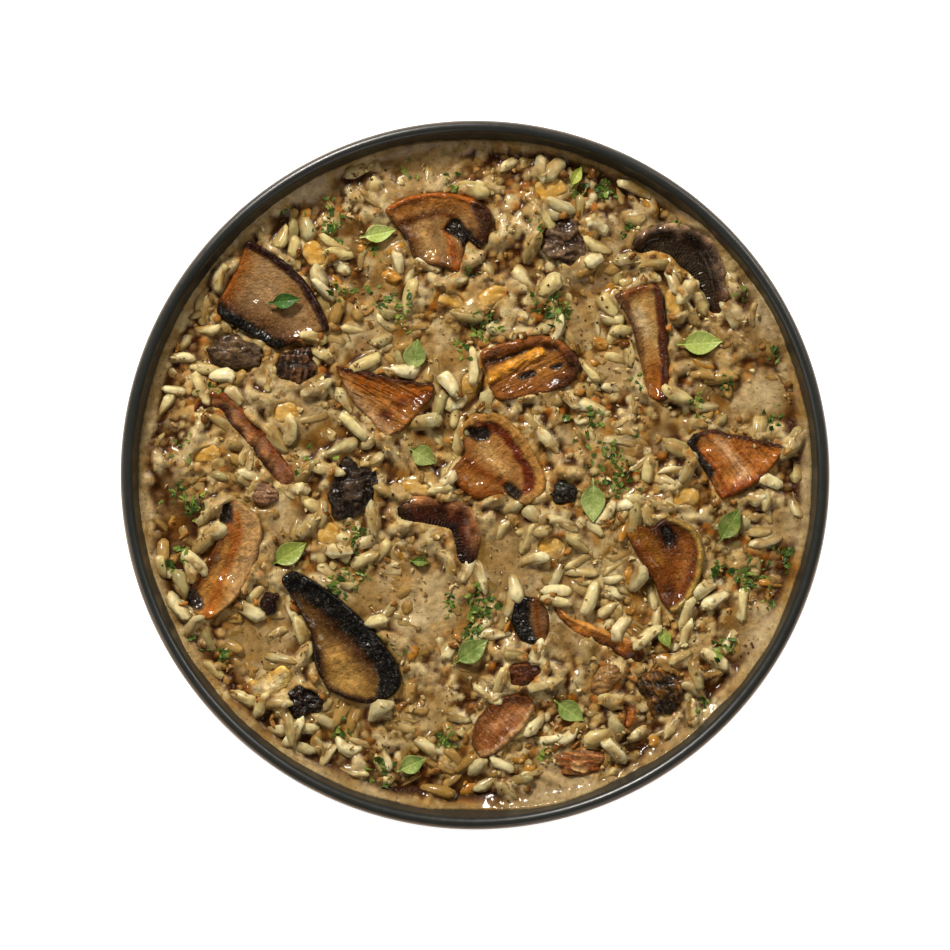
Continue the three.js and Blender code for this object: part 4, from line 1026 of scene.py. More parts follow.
SLICES = (
    # A cap cut through: dark skin down the right, gills along the lower left, its face scorched on the left.
    Slice(1, ((-64.6, 66.7, 4.4), (-40.8, 41, 0), (-56, 35.6, 0.4), (-73.4, 45.5, 0), (-72.5, 49.9, -0.6)),
          (-57.5, 51), "#9a7951", "#764e20", (
        Band(STAIN, "#954a0a", 9.0, line=((-66, 65), (-69, 58), (-71.6, 50))),
        Band(STAIN, "#391a05", 14.0, line=((-73, 46), (-67, 42.5), (-59, 38.5), (-54, 36))),
        Band(GILLS, "#040404", 4.6, line=((-74, 47), (-68, 43.2), (-62, 39.8), (-55.4, 35.8))),
        Band(SKIN, "#1d0504", 2.3, sides=(0, 1), raised=0.45)),
          thickness=4.3, fibre_heading=-35, fibre_depth=0.02, ragged=0.3),
    # Half a cap with its stem; the cap's right end curls round the gills.
    Slice(2, ((-26, 74.9, 1.2), (-11.3, 80.4, 1), (2.6, 76.6, 1.4), (4.9, 70.1, 0.8), (1.7, 64.1, 0),
              (-2, 67.4, 0), (-4.1, 56.9, 0), (-17.4, 60.5, 0), (-19.8, 67, 0)),
          (-7.5, 71.5), "#8f6e40", "#582807", (
        Band(STAIN, "#9c6124", 7.0, line=((-24, 75), (-11, 78.5), (1, 76))),
        Band(SKIN, "#9c5116", 1.6, sides=(0, 2), raised=0.3),
        Band(STAIN, "#4c2304", 2.6, line=((-21, 71), (-11, 74), (-6, 73.4))),
        Band(STAIN, "#ac844f", 4.0, line=((-15, 70), (-12, 62))),
        Band(STAIN, "#8f4308", 3.0, line=((-8, 70), (-6.4, 64), (-5, 57.5))),
        Band(STAIN, "#040404", 4.0, line=((-21.5, 68), (-20, 65.6))),
        Band(SKIN, "#331704", 4.2, line=((1, 76), (3.4, 71), (1.6, 65.6)), raised=0.5),
        Band(CHAR, "#0c0908", 4.6, line=((-5.6, 69.8), (-2.4, 67.4), (-1.2, 65.6)), raised=-1.5)),
          fibre_heading=-75, fibre_depth=0.1),
    # A torn wedge, frayed along the top.
    Slice(3, ((-40, 31.5, -0.4), (-10.5, 26, 0.8), (-17.4, 15.4, 0.5), (-25.3, 9.6, 0), (-32.1, 17.4, 0.5)),
          (-24, 22), "#945d1f", "#703c07", (
        Band(STAIN, "#a98258", 8.0, line=((-35.5, 24), (-30, 16), (-25, 11))),
        Band(STAIN, "#52210a", 4.0, line=((-25, 17), (-20, 21), (-13, 23)), raised=-0.3),
        Band(STAIN, "#5e2a0c", 2.4, line=((-38, 30), (-28, 27.4), (-18, 26.6)), raised=0.2),
        Band(STAIN, "#894707", 5.0, line=((-33, 26), (-21, 23), (-13, 25))),
        Band(STAIN, "#a2672e", 3.0, line=((-27, 22), (-19, 16), (-15, 19))),
        Band(CHAR, "#3a1d10", 1.0, sides=(0.1, 1))),
          fibre_heading=-28, fibre_depth=0.24, ragged=1.3),
    # A whole slice: a golden skin, a red-brown ring under it, the stem to the lower left.
    Slice(4, ((-4.9, 12.6, 3.4), (8.9, 16.6, 1.4), (20.4, -1.4, 2), (13.6, -8.8, 0), (9.8, -5.4, 0),
              (0.2, -7.4, 0.6), (-7.9, 0.6, 0), (-2.6, 6.6, 0)),
          (5.4, 4.6), "#9c6a34", "#7c400f", (
        Band(STAIN, "#b98f52", 6.0, line=((3, 7), (8, 1))),
        Band(STAIN, "#783c0a", 5.0, line=((-6, -1), (-1, -5.6), (6, -6))),
        Band(STAIN, "#683004", 3.0, line=((-3.5, 5), (2.5, 0.5), (8, -2))),
        Band(SKIN, "#5c1f05", 3.4, raised=-0.3,
             line=((-4, 13.4), (-0.6, 15.8), (6, 13.8), (11.8, 7.4), (15.4, 0), (15.4, -5))),
        Band(SKIN, "#ab7a38", 3.0, sides=(0, 3), raised=0.5),
        Band(CHAR, "#100b0a", 3.8, line=((-1, 12.2), (2.2, 11.6)), raised=-1.4),
        Band(CHAR, "#130d0a", 3.2, line=((9.8, -3.6), (11.8, -5.4)), raised=-0.9)),
          fibre_heading=35, fibre_depth=0.06),
    # A narrow slice of cap: skin down the right, a dark tip at the upper left.
    Slice(5, ((39.1, 50.9, 0.6), (49.6, 54.7, 0.3), (52.7, 53, 0.8), (54.9, 20.9, 0.6), (49, 21.9, 0),
              (44.4, 42, -0.4)),
          (49, 42), "#a88347", "#8f5824", (
        Band(STAIN, "#b89f75", 5.0, line=((46.5, 46), (48.4, 41))),
        Band(STAIN, "#8d4b11", 9.0, line=((51, 29), (52, 22))),
        Band(SKIN, "#41180a", 2.4, sides=(2, 3.2), raised=0.35),
        Band(STAIN, "#77421a", 4.0, line=((43, 51), (48, 53))),
        Band(STAIN, "#4a2714", 4.6, line=((40.4, 50.2), (42, 48))),
        Band(STAIN, "#4e3018", 2.0, sides=(4.6, 6))),
          fibre_heading=-80),
    # A slice on its side: the skin along the top, a groove, the stem as a bright ridge, gills below it.
    Slice(6, ((1, 34.3, 1), (18.6, 39.7, 1.6), (29.3, 33.4, 1.6), (26.8, 25.2, 0.8), (5.8, 21, 0.6),
              (3.2, 28.2, 0)),
          (15, 30.5), "#9b6423", "#6d360f", (
        Band(STAIN, "#7c471a", 7.0, line=((7, 23), (16, 24), (25, 26))),
        Band(SKIN, "#8b4f1f", 2.6, sides=(0, 2), raised=0.5),
        Band(STAIN, "#3b1b0a", 6.0, line=((27.6, 34), (27.8, 28), (24, 26))),
        Band(STAIN, "#301606", 2.6, line=((3, 32), (9, 33), (16, 35.6), (23, 35.8)), raised=-0.8),
        Band(SKIN, "#ce8b2a", 3.0, line=((3.6, 27), (10, 31), (18.5, 35.2)), raised=0.7),
        Band(CHAR, "#1a110b", 1.8, line=((13, 27.8), (16.4, 28.6)), raised=-0.7),
        Band(CHAR, "#1a110b", 1.5, line=((22, 30.4), (24, 30.8)), raised=-0.5)),
          fibre_heading=28, fibre_depth=0.14),
    # A torn fibrous piece, scorched along its upper edges.
    Slice(7, ((58.9, 9.9, 0.6), (69.1, 13, 0.5), (88.6, 7.9, 0.3), (80.7, -1.9, 0), (70.2, -7.6, 0.5),
              (66.9, -2.1, 0)),
          (73, 4.4), "#b2712e", "#95490f", (
        Band(STAIN, "#c69a6c", 4.0, line=((69, 9.5), (74.5, 3), (77, -1))),
        Band(STAIN, "#863e11", 3.0, line=((70, -6), (76, -3), (81, -0.6))),
        Band(STAIN, "#883f0b", 2.2, line=((63, 8), (69, 0), (71, -4))),
        Band(CHAR, "#3a1d0f", 1.2, sides=(0, 2)),
        Band(CHAR, "#17110e", 2.4, sides=(5.2, 6.2))),
          fibre_heading=-55, fibre_depth=0.28, ragged=1.1),
    # A slice with a short stem: a pale skin edge on the right, dark red-brown flesh, one black hole.
    Slice(8, ((42.5, -16.3, 0.3), (45.4, -14, 0), (50, -15, 0.8), (55.8, -11.6, 3.4), (64.7, -24.4, 2),
              (56.5, -39.4, 1.2), (51.2, -31.6, 0), (45.4, -22.4, 0)),
          (54.5, -22.5), "#814512", "#5b2a06", (
        Band(STAIN, "#855414", 5.0, line=((43.5, -16.4), (49, -18), (52, -24))),
        Band(STAIN, "#502505", 8.0, line=((54, -33), (57, -38))),
        Band(STAIN, "#8d5524", 4.0, line=((57.5, -19), (60, -24), (58, -30))),
        Band(SKIN, "#5e2b07", 2.4, raised=-0.2,
             line=((53, -12.6), (59, -13), (62.6, -18), (62.4, -26), (58, -36))),
        Band(SKIN, "#a5843e", 1.8, sides=(3, 5), raised=0.35),
        Band(STAIN, "#1a0504", 7.0, line=((53, -15.4), (55.2, -18.4))),
        Band(CHAR, "#0f0a08", 3.2, line=((53.8, -15.8), (54.8, -17.8)), raised=-1.0)),
          fibre_heading=-55, fibre_depth=0.1),
    # A cut end: black gills on the left, brown flesh on the right.
    Slice(9, ((11, -33.6, 0), (18.2, -34.6, 0.4), (21.2, -40, 0.5), (20.2, -48, 0.4), (13.4, -47.6, 0.8),
              (10.2, -39.6, 0.5)),
          (15.4, -41), "#765230", "#5c3110", (
        Band(STAIN, "#6a3105", 1.8, line=((17, -35.4), (17.8, -41), (18.2, -47))),
        Band(CHAR, "#060505", 6.6, line=((12.8, -34), (12.4, -41), (14.4, -47.4)), raised=-0.4)),
          fibre_heading=80, fibre_depth=0.03),
    # An oblong torn from the side of a cap, ridged across.
    Slice(10, ((0.1, -69, 0.5), (7.4, -62.8, 0.6), (14.6, -62.2, 0.8), (17.4, -66.4, 0.5), (8.6, -76.6, 0.6),
               (1.8, -80.2, 0.6), (-0.9, -75, 0.3)),
          (7.4, -69.8), "#9d6231", "#5e2c0a", (
        Band(STAIN, "#502509", 5.0, line=((2, -66), (8, -63), (15, -63))),
        Band(STAIN, "#ab7448", 3.5, line=((4, -72), (9, -69), (13, -67))),
        Band(SKIN, "#b98a58", 1.9, sides=(3, 5), raised=0.1)),
          fibre_heading=-52, fibre_depth=0.16, ragged=0.7),
    # A thick slice of cap: tan skin down the right, a red line under it, dark gills at both ends.
    Slice(11, ((-72.1, -7.5, 0.8), (-64.6, -8.4, 1.4), (-60, -17.1, 3.2), (-74.9, -41.4, 2),
               (-82, -34.4, 0), (-72.2, -17, 0.3)),
          (-70, -24), "#a06a30", "#77370b", (
        Band(STAIN, "#b1803d", 6.0, line=((-72, -20), (-76, -32))),
        Band(SKIN, "#af8754", 6.0, sides=(1.2, 3.0), raised=0.5),
        Band(STAIN, "#b16817", 6.0, line=((-73, -33), (-75.4, -40))),
        Band(STAIN, "#9a561b", 2.4, line=((-67.5, -11), (-66.6, -17), (-70.5, -27), (-76, -39)),
             raised=-0.2),
        Band(STAIN, "#522606", 4.4, line=((-73, -14), (-74, -22), (-80, -32))),
        Band(CHAR, "#1a1310", 4.4, line=((-71, -8.6), (-70.6, -12)), raised=-0.4),
        Band(CHAR, "#211915", 4.4, line=((-80.5, -34.2), (-78.8, -36)))),
          fibre_heading=62),
    # A long slice: its charred gills are a black band down the upper right, the flesh amber.
    Slice(12, ((-55.4, -29.6, 0.5), (-51.3, -26.8, 3.2), (-21.2, -54.7, 0.8),
               (-21.9, -61.4, 0.5), (-29.1, -64.8, 1.4), (-42.1, -60.4, 1.6),
               (-46.3, -45.1, 0), (-51.8, -34.6, 0)),
          (-37.5, -47), "#8d6a2e", "#4a2707", (
        Band(STAIN, "#2e1504", 15.0, line=((-53, -29), (-44, -34), (-38, -42), (-30, -52))),
        Band(STAIN, "#b98d48", 9.0, line=((-39, -52), (-34, -58))),
        Band(STAIN, "#160604", 3.6, line=((-53.6, -32), (-49, -41), (-46, -48), (-43.5, -58))),
        Band(STAIN, "#1b0904", 3.0, line=((-42, -61), (-34, -64), (-27, -64))),
        Band(CHAR, "#241309", 2.2, line=((-38.6, -63.4), (-36.4, -64))),
        Band(CHAR, "#070708", 5.8, sides=(0.2, 3.0), raised=0.45)),
          fibre_heading=-50, fibre_depth=0.03, ragged=0.35),
)

STRIPS = (
    Strip(1, ((-79.3, 17.4), (-75.4, 20.9), (-70.6, 20), (-66.3, 14.7), (-61.2, 9.6), (-57.6, 3.6),
              (-51.6, -2.6)),
          (4, 6.2, 6.2), "#6a3212", "#a87446", "#35170a", "#5a2410", "#7a4c30", hollow=0.9),
    Strip(2, ((21.6, -34.8), (25.4, -40.8), (34.4, -45.6), (42.5, -48.6), (47.9, -52.2)),
          (2.2, 4.2, 5.2), "#c98a40", "#ad6a2a", "#5c2e12", "#b0702e", "#5c2c12", hollow=0.8),
    Strip(3, ((44.8, 62.8), (50.4, 66.6), (57.8, 66), (64.4, 60.4), (67.4, 52.6), (68, 44.6)),
          (5.6, 12.4, 5.4), "#a68463", "#100705", "#3c3a2c", "#20120a", "#2c170d", ridges=0.5,
          hollow=2.3, rim=0.2),
    Strip(4, ((-22.8, -10.9), (-13.5, -10.7), (-5, -12.6), (-2.9, -18.6), (-3, -26)),
          (6.0, 8.6, 6.0), "#9a683c", "#3e180b", "#1a0805", "#120605", "#140604", ridges=0.34,
          hollow=1.3, rim=0.15),
    Strip(5, ((41.6, -63.8), (43.7, -67.2), (42.8, -71.6)), (2.4, 2.8, 2.4),
          "#a15f2a", "#864d22", "#643215", "#78401a", "#864d1f"),
    Strip(6, ((-65.2, -61.6), (-58.4, -59.6), (-52.4, -55.6)), (4.6, 5.8, 5),
          "#c19440", "#e1cc9e", "#d4b262", "#793e08", "#d1ae62"),
)

CHUNKS = tuple(Lump(number, *row) for number, row in enumerate((
    ((-67.8, 34.6), (16.4, 9.6), -8, "#29180b", "#806647", 0.9),
    ((-50.6, 30.9), (12.4, 10.4), 10, "#231509", "#99623c", 0.5, 0.4, 82),
    ((-59.3, -5.2), (8, 6.4), -20, "#946f52", "#6a4428", 0.8),
    ((-48.6, -64.4), (10.2, 9.4), 30, "#0e0604", "#31180a", 0.9),
    ((-34.9, -4.1), (17.4, 13.6), 75, "#140b07", "#564331", 1.0),
    ((25, 66), (13.4, 12.2), -50, "#291505", "#977c60", 0.9),
    ((53, -61), (14, 12.2), -40, "#1b1107", "#9e6623", 0.7, 0.3, -62),
    ((30, -81.3), (14.4, 7.8), 6, "#894a1e", "#c19860", 0.35, 0.16, -8),
    ((-58.2, -36.2), (6.6, 5.2), 80, "#190804", "#2a1006", 0.6),
    ((25, -5.2), (7.6, 7), 60, "#100b08", "#2c2c20", 0.7),
    ((13.9, -56.2), (10.2, 7.2), 15, "#421b08", "#6f4120", 0.7),
    ((37, -57.8), (10.6, 7), 52, "#a68049", "#764f28", 0.6),
), start=1))

ONIONS = tuple(Onion(number, *row) for number, row in enumerate((
    ((21.2, 81.2), (9.6, 7.2), 20), ((56.6, 48.8), (8.2, 5.6), -70), ((4.9, 50.9), (9.8, 5.4), 32),
    ((-7, 49.6), (8.4, 4.8), -15), ((-45.5, 62.6), (8.6, 5.8), -60), ((-53.7, 17.6), (8, 6.6), 10),
    ((-76.2, 5.8), (8.8, 5), 15), ((-1.6, 26), (6.8, 5.2), 80), ((-41.4, -16.6), (7, 6.6), 0),
    ((-16.5, -3.8), (9.4, 4.4), -12), ((21.6, -20.5), (8.8, 7), 25), ((59.6, -6), (8.4, 6), 10),
), start=1))

LEAVES = tuple(Leaf(number, *row) for number, row in enumerate((
    ((-27.6, 68.3), (10.4, 5), 12, "#e2dba2", "#89ad35"),
    ((-54, 49.2), (9, 4.4), 8, "#4f7432", "#375623", 33.2),
    ((-17.1, 33.6), (9.8, 6.4), 80, "#d2cb87", "#476820"),
    ((-14.9, 5.6), (9, 6), -30, "#acb26e", "#657626"),
    ((28.6, 84.4), (6.4, 3.2), 62, "#c7c86e", "#94a135"),
    ((63.6, 37.4), (13, 6.8), 4, "#bec77a", "#9db04a"),
    ((33.4, -7.2), (12.6, 7), -90, "#ccd18e", "#6e8435"),
    ((71.9, -14.4), (11.4, 6.2), 58, "#a9a65e", "#395918"),
    ((-1.3, -50.1), (11.8, 6.6), 35, "#b3b76d", "#4a6923"),
    ((-52.8, -22.4), (11.8, 6.4), 32, "#acb65b", "#74812e"),
    ((26.6, -66.6), (10.2, 6), -35, "#aab26b", "#6a8730"),
    ((-18.2, -82), (8.8, 5.4), 25, "#cbcf79", "#4d7029"),
    ((53.6, -45.8), (7, 3.6), -65, "#ccc969", "#44661e"),
    ((-15.7, -24.4), (5.8, 2.8), -5, "#83964a", "#627327"),
), start=1))


# ---- The rice and its sauce ------------------------------------------------


@dataclass(frozen=True)
class GrainLook:
    """How the grains of one cooking look, or the bits among them.

    Each has a name, how pale it makes the sauce over it, its own colours, the film of sauce on it and how
    much there is, its foot, darkened as wet and as painted shade where it meets the sauce, its size, how
    blunt its ends are, how lumpy it is, and its finish.
    """

    name: str
    fairness: float
    light: str
    dark: str
    filmed: float
    film: str = "#a17f46"
    foot_wet_and_shade: str = "#60400c"
    length: Pair = (6.8, 10.8)
    width: Pair = (3.1, 4.5)
    plump: Pair = (2.3, 5.0)
    lumpy: float = 0.5
    finish: FoodFinish = RICE


class Cooking(Enum):
    """How a grain of rice, or a bit among it, is cooked."""

    PALE = GrainLook("rice_pale", 1.0, "#f3e8bb", "#cdbb7e", 0.02)
    CLEAR = GrainLook("rice_clear", 0.65, "#cfc498", "#9a8e5c", 0.12)
    COATED = GrainLook("rice_coated", 0.3, "#bb9856", "#93702f", 0.25)
    ONION = GrainLook("onion_dice", 0.35, "#e0a24a", "#b27424", 0.05, film="#a9782c", length=(4.4, 8.4),
                      width=(3.6, 5.4), plump=(1.8, 2.6), lumpy=0.7, finish=SOFTENED)
    CRUMB = GrainLook("mushroom_crumbs", 0.0, "#b8772c", "#5c3006", 0.0, length=(1.6, 3.8),
                      width=(1.3, 2.6), plump=(1.8, 2.6), lumpy=0.7, finish=BROWNED)


FAR = 99.0  # farther than anything in the bowl, in millimetres
FLATNESS = 0.84  # a grain's height as a share of its width


@dataclass
class Field:
    """A value for each cell of a square grid over the bowl."""

    values: Array
    cell: float
    half: float

    def index(self, x: Array) -> Array:
        """The place of a coordinate on the grid, as a number of cells."""
        return (np.asarray(x) + self.half) / self.cell

    def at(self, x: Array, y: Array) -> Array:
        """The value at points, as the mean of the four cells around each, weighted by nearness."""
        top = self.values.shape[0] - 1.001
        px, py = np.clip(self.index(x), 0, top), np.clip(self.index(y), 0, top)
        ix, iy = px.astype(int), py.astype(int)
        fx, fy = px - ix, py - iy
        v = self.values
        return (v[iy, ix] * (1 - fx) * (1 - fy) + v[iy, ix + 1] * fx * (1 - fy)
                + v[iy + 1, ix] * (1 - fx) * fy + v[iy + 1, ix + 1] * fx * fy)

    def blurred(self, reach: float) -> "Field":
        """The field smoothed by a bell curve of that reach in millimetres, through its Fourier transform."""
        margin = 40
        padded = np.pad(self.values, margin, mode="edge")
        wave = np.fft.fftfreq(padded.shape[0]) * 2 * math.pi * reach / self.cell
        bell = np.exp(-0.5 * (wave[:, None] ** 2 + wave[None] ** 2))
        smooth = np.fft.ifft2(np.fft.fft2(padded) * bell).real[margin:-margin, margin:-margin]
        return Field(smooth, self.cell, self.half)


# Grains that lie on top, each at its own place: x, y, and the heading of its length in degrees.
TOP_GRAINS = (
    (-46.1, 39.0, -12), (35, 70.4, -30), (35, 64.3, -20), (44.9, 73.1, -10), (63.7, 48.9, -60),
    (61.4, 45.6, -58), (73.6, 46.8, -65), (21.3, 53.3, 40), (13.8, 55, -55), (-18.1, 49.9, 75),
    (-12.6, 59.1, -20), (-54.3, 67.3, 70), (-51.3, 64.6, 80), (-75.9, 41, 0), (-28.4, 73.5, -35),
    (-40, 65.3, -30), (-34.2, 13.7, -45), (-56.4, 9.9, -55), (-67.7, 22.6, -55), (-62.5, 21.2, -60),
    (-63.2, 16.2, -70), (-89.5, 2.4, -80), (-89.2, -26, -80), (-75.5, -17.1, 65), (-54.7, -64.9, 85),
    (-53, -71.1, -45), (-46.1, -70.2, 20), (-36.2, -77.2, -30), (-13.7, -76.9, -40), (-44.1, -9.9, -35),
    (-31.1, -23.9, 25), (28.1, -11.9, 85), (18.6, -13.7, 40), (49, 2, 85), (57.5, 1, -5), (62.6, -12, -5),
    (83.5, -5.5, 60), (78.7, -6.5, -15), (32.9, -34.9, 70), (37.3, -38.2, 30), (59.6, -39.7, 80),
    (67.8, -35.6, 25), (76, -36.2, 80), (59.6, -45.6, 75), (58.2, -51.6, 30), (66, -56.4, 10),
    (61.5, -60.5, 60), (67.8, -52, -35), (23.7, -57.4, -80), (29.1, -57.4, 70), (39.1, -69, -75),
    (35, -74.2, 15), (26.1, -74.5, 30), (14.5, -72.4, 30), (20.9, -74.9, 10), (46.6, -73.1, 25),
    (39.5, -78, -45), (7.6, -82, -30), (8.6, -49.8, 45), (5.2, -58.6, -15), (72.5, -46.5, 70),
    (-33, 86.6, 20), (-10.2, 89.6, 28), (-92, 18, 60), (4.6, 81.2, -5), (9.6, 88.2, 30), (88.6, 9.5, -70),
    (27.3, 21.4, -45), (21, 9.5, -55), (0.4, 19.6, 10),
)

# Places where the sauce stands over the rice: x, y and radius.
POOLS = (
    (-24, 62, 6), (-9, 33, 7), (-48, 16.5, 7), (-15, 90, 13), (82, 22, 8), (80, 41, 7), (-15, -37, 13),
    (-30, -35, 7), (-60, -46, 10), (-54, -15, 7), (9, -23, 11), (27, -44, 7), (22, -91, 12), (79, -44, 9),
    (-83, -52, 7), (60, -75, 7), (40, 30, 6), (-36, -92, 9), (30, 42, 5), (-45, 83, 7), (87, -15, 5),
    (62, 70, 5),
)


@dataclass
class Heap:
    """The rice, dropped grain by grain where no topping lies, and the sauce that floods it."""

    bowl: Bowl
    prints: list[Array]
    leaf_prints: list[tuple[Array, float]]
    edge_level: float = 30.1
    mound: float = 0.9
    cling: float = 2.2
    cling_reach: float = 7.0
    bed: float = 2.6
    cell: float = 0.5
    count: int = 7500
    crumbs: int = 1500
    nestle: float = 0.45
    rests_on: float = 0.42
    rests_above: float = 0.55
    steepest: float = 0.36
    clear_of_wall: float = 0.2
    into_topping: float = 0.9
    topping_foot: float = 28.2
    topping_top: float = 33.0
    heave: float = 2.3
    headroom: float = 1.05
    highest: float = 3.1
    banked: float = 1.0
    bank_reach: float = 4.0
    edge_grains: int = 280
    thirst: float = 0.5
    coat: float = 0.2
    bare: float = 0.85
    creamy: float = 0.5
    least: float = 0.95
    knit: float = 0.25
    onion_share: float = 0.13
    sunk: float = 0.85
    bottom: float = 0.3
    swirl: float = 200.0
    unruly: float = 42.0
    edge_zone: Pair = (0.4, 3.4)
    crumb_zone: float = 1.8
    crumb_size: float = 2.2
    crumb_rise: float = 0.65
    crumb_seed: int = 71
    seed: int = 7

    def __post_init__(self) -> None:
        """Lays out the grid: the bed of the heap, the nearest topping, and the ceiling under each leaf."""
        self.random = np.random.default_rng(self.seed)
        self.radius = float(self.bowl.wall_radius(self.edge_level))
        self.half = math.ceil(self.radius) + 3.0
        axis = np.arange(-self.half, self.half + self.cell, self.cell)
        self.x, self.y = np.meshgrid(axis, axis)
        self.away, self.ceiling = (self.field(np.full_like(self.x, FAR)) for _ in range(2))
        for polygon in self.prints:
            self.stamp(self.away, polygon, lambda away, _: away)
        for polygon, level in self.leaf_prints:
            self.stamp(self.ceiling, polygon, lambda away, now, top=level: np.where(away < 0.4, top, now))
        self.height = self.field(self.level(self.x, self.y) - self.bed + 0.5 * self.patches(13.0, 3, 2))
        self.paleness = self.field(np.zeros_like(self.x))
        self.grains: dict[Cooking, list[tuple[float, ...]]] = {kind: [] for kind in Cooking}

    def field(self, values: Array) -> Field:
        """A field on the heap's grid."""
        return Field(values, self.cell, self.half)

    def patches(self, spacing: float, seed: int, octaves: int = 1) -> Array:
        """Noise at the grid's places."""
        return flat_noise(self.x, self.y, spacing, seed, octaves)

    def stamp(self, target: Field, polygon: Array, rule: Callable[..., Array]) -> None:
        """Lowers a field near a polygon to what a rule makes of the distance outside it and the value."""
        margin = 8.0
        low = np.floor(target.index(polygon.min(axis=0) - margin)).astype(int)
        high = np.ceil(target.index(polygon.max(axis=0) + margin)).astype(int)
        (x0, y0), (x1, y1) = np.maximum(low, 0), np.minimum(high, self.x.shape[0])
        window = np.s_[y0:y1, x0:x1]
        away = polygon_distance(polygon, self.x[window], self.y[window])
        target.values[window] = np.minimum(target.values[window], rule(away, target.values[window]))

    def level(self, x: Array, y: Array) -> Array:
        """The food's mean level: edge level + mound (1 - r^2 / R^2), and a rise to the wall it clings to."""
        r = np.hypot(x, y)
        cling = self.cling * smoothstep(self.radius - self.cling_reach, self.radius + 0.5, r)
        return self.edge_level + self.mound * (1.0 - (r / self.radius) ** 2) + cling

    def pool(self, x: Array, y: Array) -> Array:
        """How much a place is a pool of sauce, from 0 to 1."""
        depth = np.zeros_like(np.asarray(x, dtype=float))
        for px, py, radius in POOLS:
            depth = np.maximum(depth, np.exp(-(((x - px) ** 2 + (y - py) ** 2) / radius**2) ** 1.6))
        ring = smoothstep(self.radius - 3.5, self.radius - 0.5, np.hypot(x, y))
        return np.clip(np.maximum(depth, ring * (0.3 + 0.9 * flat_noise(x, y, 14.0, 9))), 0.0, 1.0)

    def drop(self, x: float, y: float, heading: float, kind: Cooking, over: bool = False) -> None:
        """Drops one grain: it tilts to what lies under it, sinks in a little, and raises the heap there.

        It is kept as x, y, z, heading, tilt, length, width and tone. One that would stick out of the heap
        or lie in a topping goes, but one that belongs over the others may lean on a topping.
        """
        look = kind.value
        length, width = self.random.uniform(*look.length), self.random.uniform(*look.width)
        turn = math.radians(heading)
        c, s = math.cos(turn), math.sin(turn)
        run = np.linspace(-self.rests_on, self.rests_on, 7) * length
        ax, ay = x + run * c, y + run * s
        if np.hypot(ax, ay).max() > self.radius - self.clear_of_wall:
            return
        if not over and self.away.at(ax, ay).min() < -self.into_topping:
            return
        under = self.height.at(ax, ay)
        if over:
            under = np.where(self.away.at(ax, ay) < 0.0, self.topping_top, under)
        tilt = float(np.clip(np.polyfit(run, under, 1)[0], -self.steepest, self.steepest))
        rise = width / 2 * FLATNESS
        z = float(np.mean(under - tilt * run)) + self.nestle
        z = max(z, float(np.max(under - tilt * run)) - self.rests_above * rise)
        limit = self.level(x, y) + self.headroom + self.heave * float(flat_noise(x, y, 10.0, 17, 2))
        limit += self.banked * math.exp(-max(float(self.away.at(x, y)), 0.0) / self.bank_reach)
        if z + rise > limit and not over:
            return
        roof = float(np.min(self.ceiling.at(ax, ay))) - rise - abs(tilt) * length / 2
        z = min(z, roof, self.level(x, y) + self.highest)
        tone = float(self.random.uniform(0.0, 1.0))
        self.grains[kind].append((x, y, z, turn, tilt, length, width, tone))
        reach = length / 2 + 0.6
        i0, i1, j0, j1 = (int(self.height.index(v)) for v in (x - reach, x + reach, y - reach, y + reach))
        window = np.s_[max(j0, 0) : j1 + 2, max(i0, 0) : i1 + 2]
        dx, dy = self.x[window] - x, self.y[window] - y
        along, across = dx * c + dy * s, dy * c - dx * s
        left = 1.0 - (2 * along / length) ** 2 - (2 * across / width) ** 2
        top = z + tilt * along + rise * np.sqrt(np.maximum(left, 0.0))
        higher = (left > 0.0) & (top > self.height.values[window])
        self.height.values[window][higher] = top[higher]
        self.paleness.values[window][higher] = look.fairness * (0.7 + 0.3 * tone)

    def anywhere(self) -> Pair:
        """A random place in the bowl, each as likely as any other."""
        r, around = (self.radius - 1.0) * math.sqrt(self.random.random()), 2 * math.pi * self.random.random()
        return r * math.cos(around), r * math.sin(around)

    def fill(self) -> None:
        """Drops the loose grains, fewer in pools, headed alike where they are close, then those on top."""
        pick = self.random
        for k in range(self.count):
            x, y = self.anywhere()
            if pick.random() < self.sunk * float(self.pool(x, y)) and k > self.count * self.bottom:
                continue
            heading = self.swirl * float(flat_noise(x, y, 16.0, 21)) + pick.normal(0.0, self.unruly)
            fresh = 1.3 * float(flat_noise(x, y, 17.0, 33)) + pick.normal(0.0, 0.35)
            kind = Cooking.PALE if fresh > -0.15 else Cooking.CLEAR if fresh > -0.6 else Cooking.COATED
            if pick.random() < self.onion_share:
                kind = Cooking.ONION
            self.drop(x, y, heading, kind)
        for _ in range(self.crumbs):
            x, y = self.anywhere()
            if pick.random() > 0.8 * float(self.pool(x, y)):
                self.drop(x, y, pick.uniform(0.0, 360.0), Cooking.CRUMB)
        for x, y, heading in TOP_GRAINS:
            self.drop(x, y, heading, Cooking.PALE, over=True)
        near, far = self.edge_zone
        rows, columns = np.nonzero((self.away.values > near) & (self.away.values < far))
        for k in pick.choice(len(rows), self.edge_grains, replace=False):
            x, y, away = (float(values[rows[k], columns[k]])
                          for values in (self.x, self.y, self.away.values))
            kind = (Cooking.CRUMB if away < self.crumb_zone
                    else (Cooking.PALE, Cooking.CLEAR)[pick.integers(2)])
            self.drop(x, y, pick.uniform(0.0, 360.0), kind, over=True)

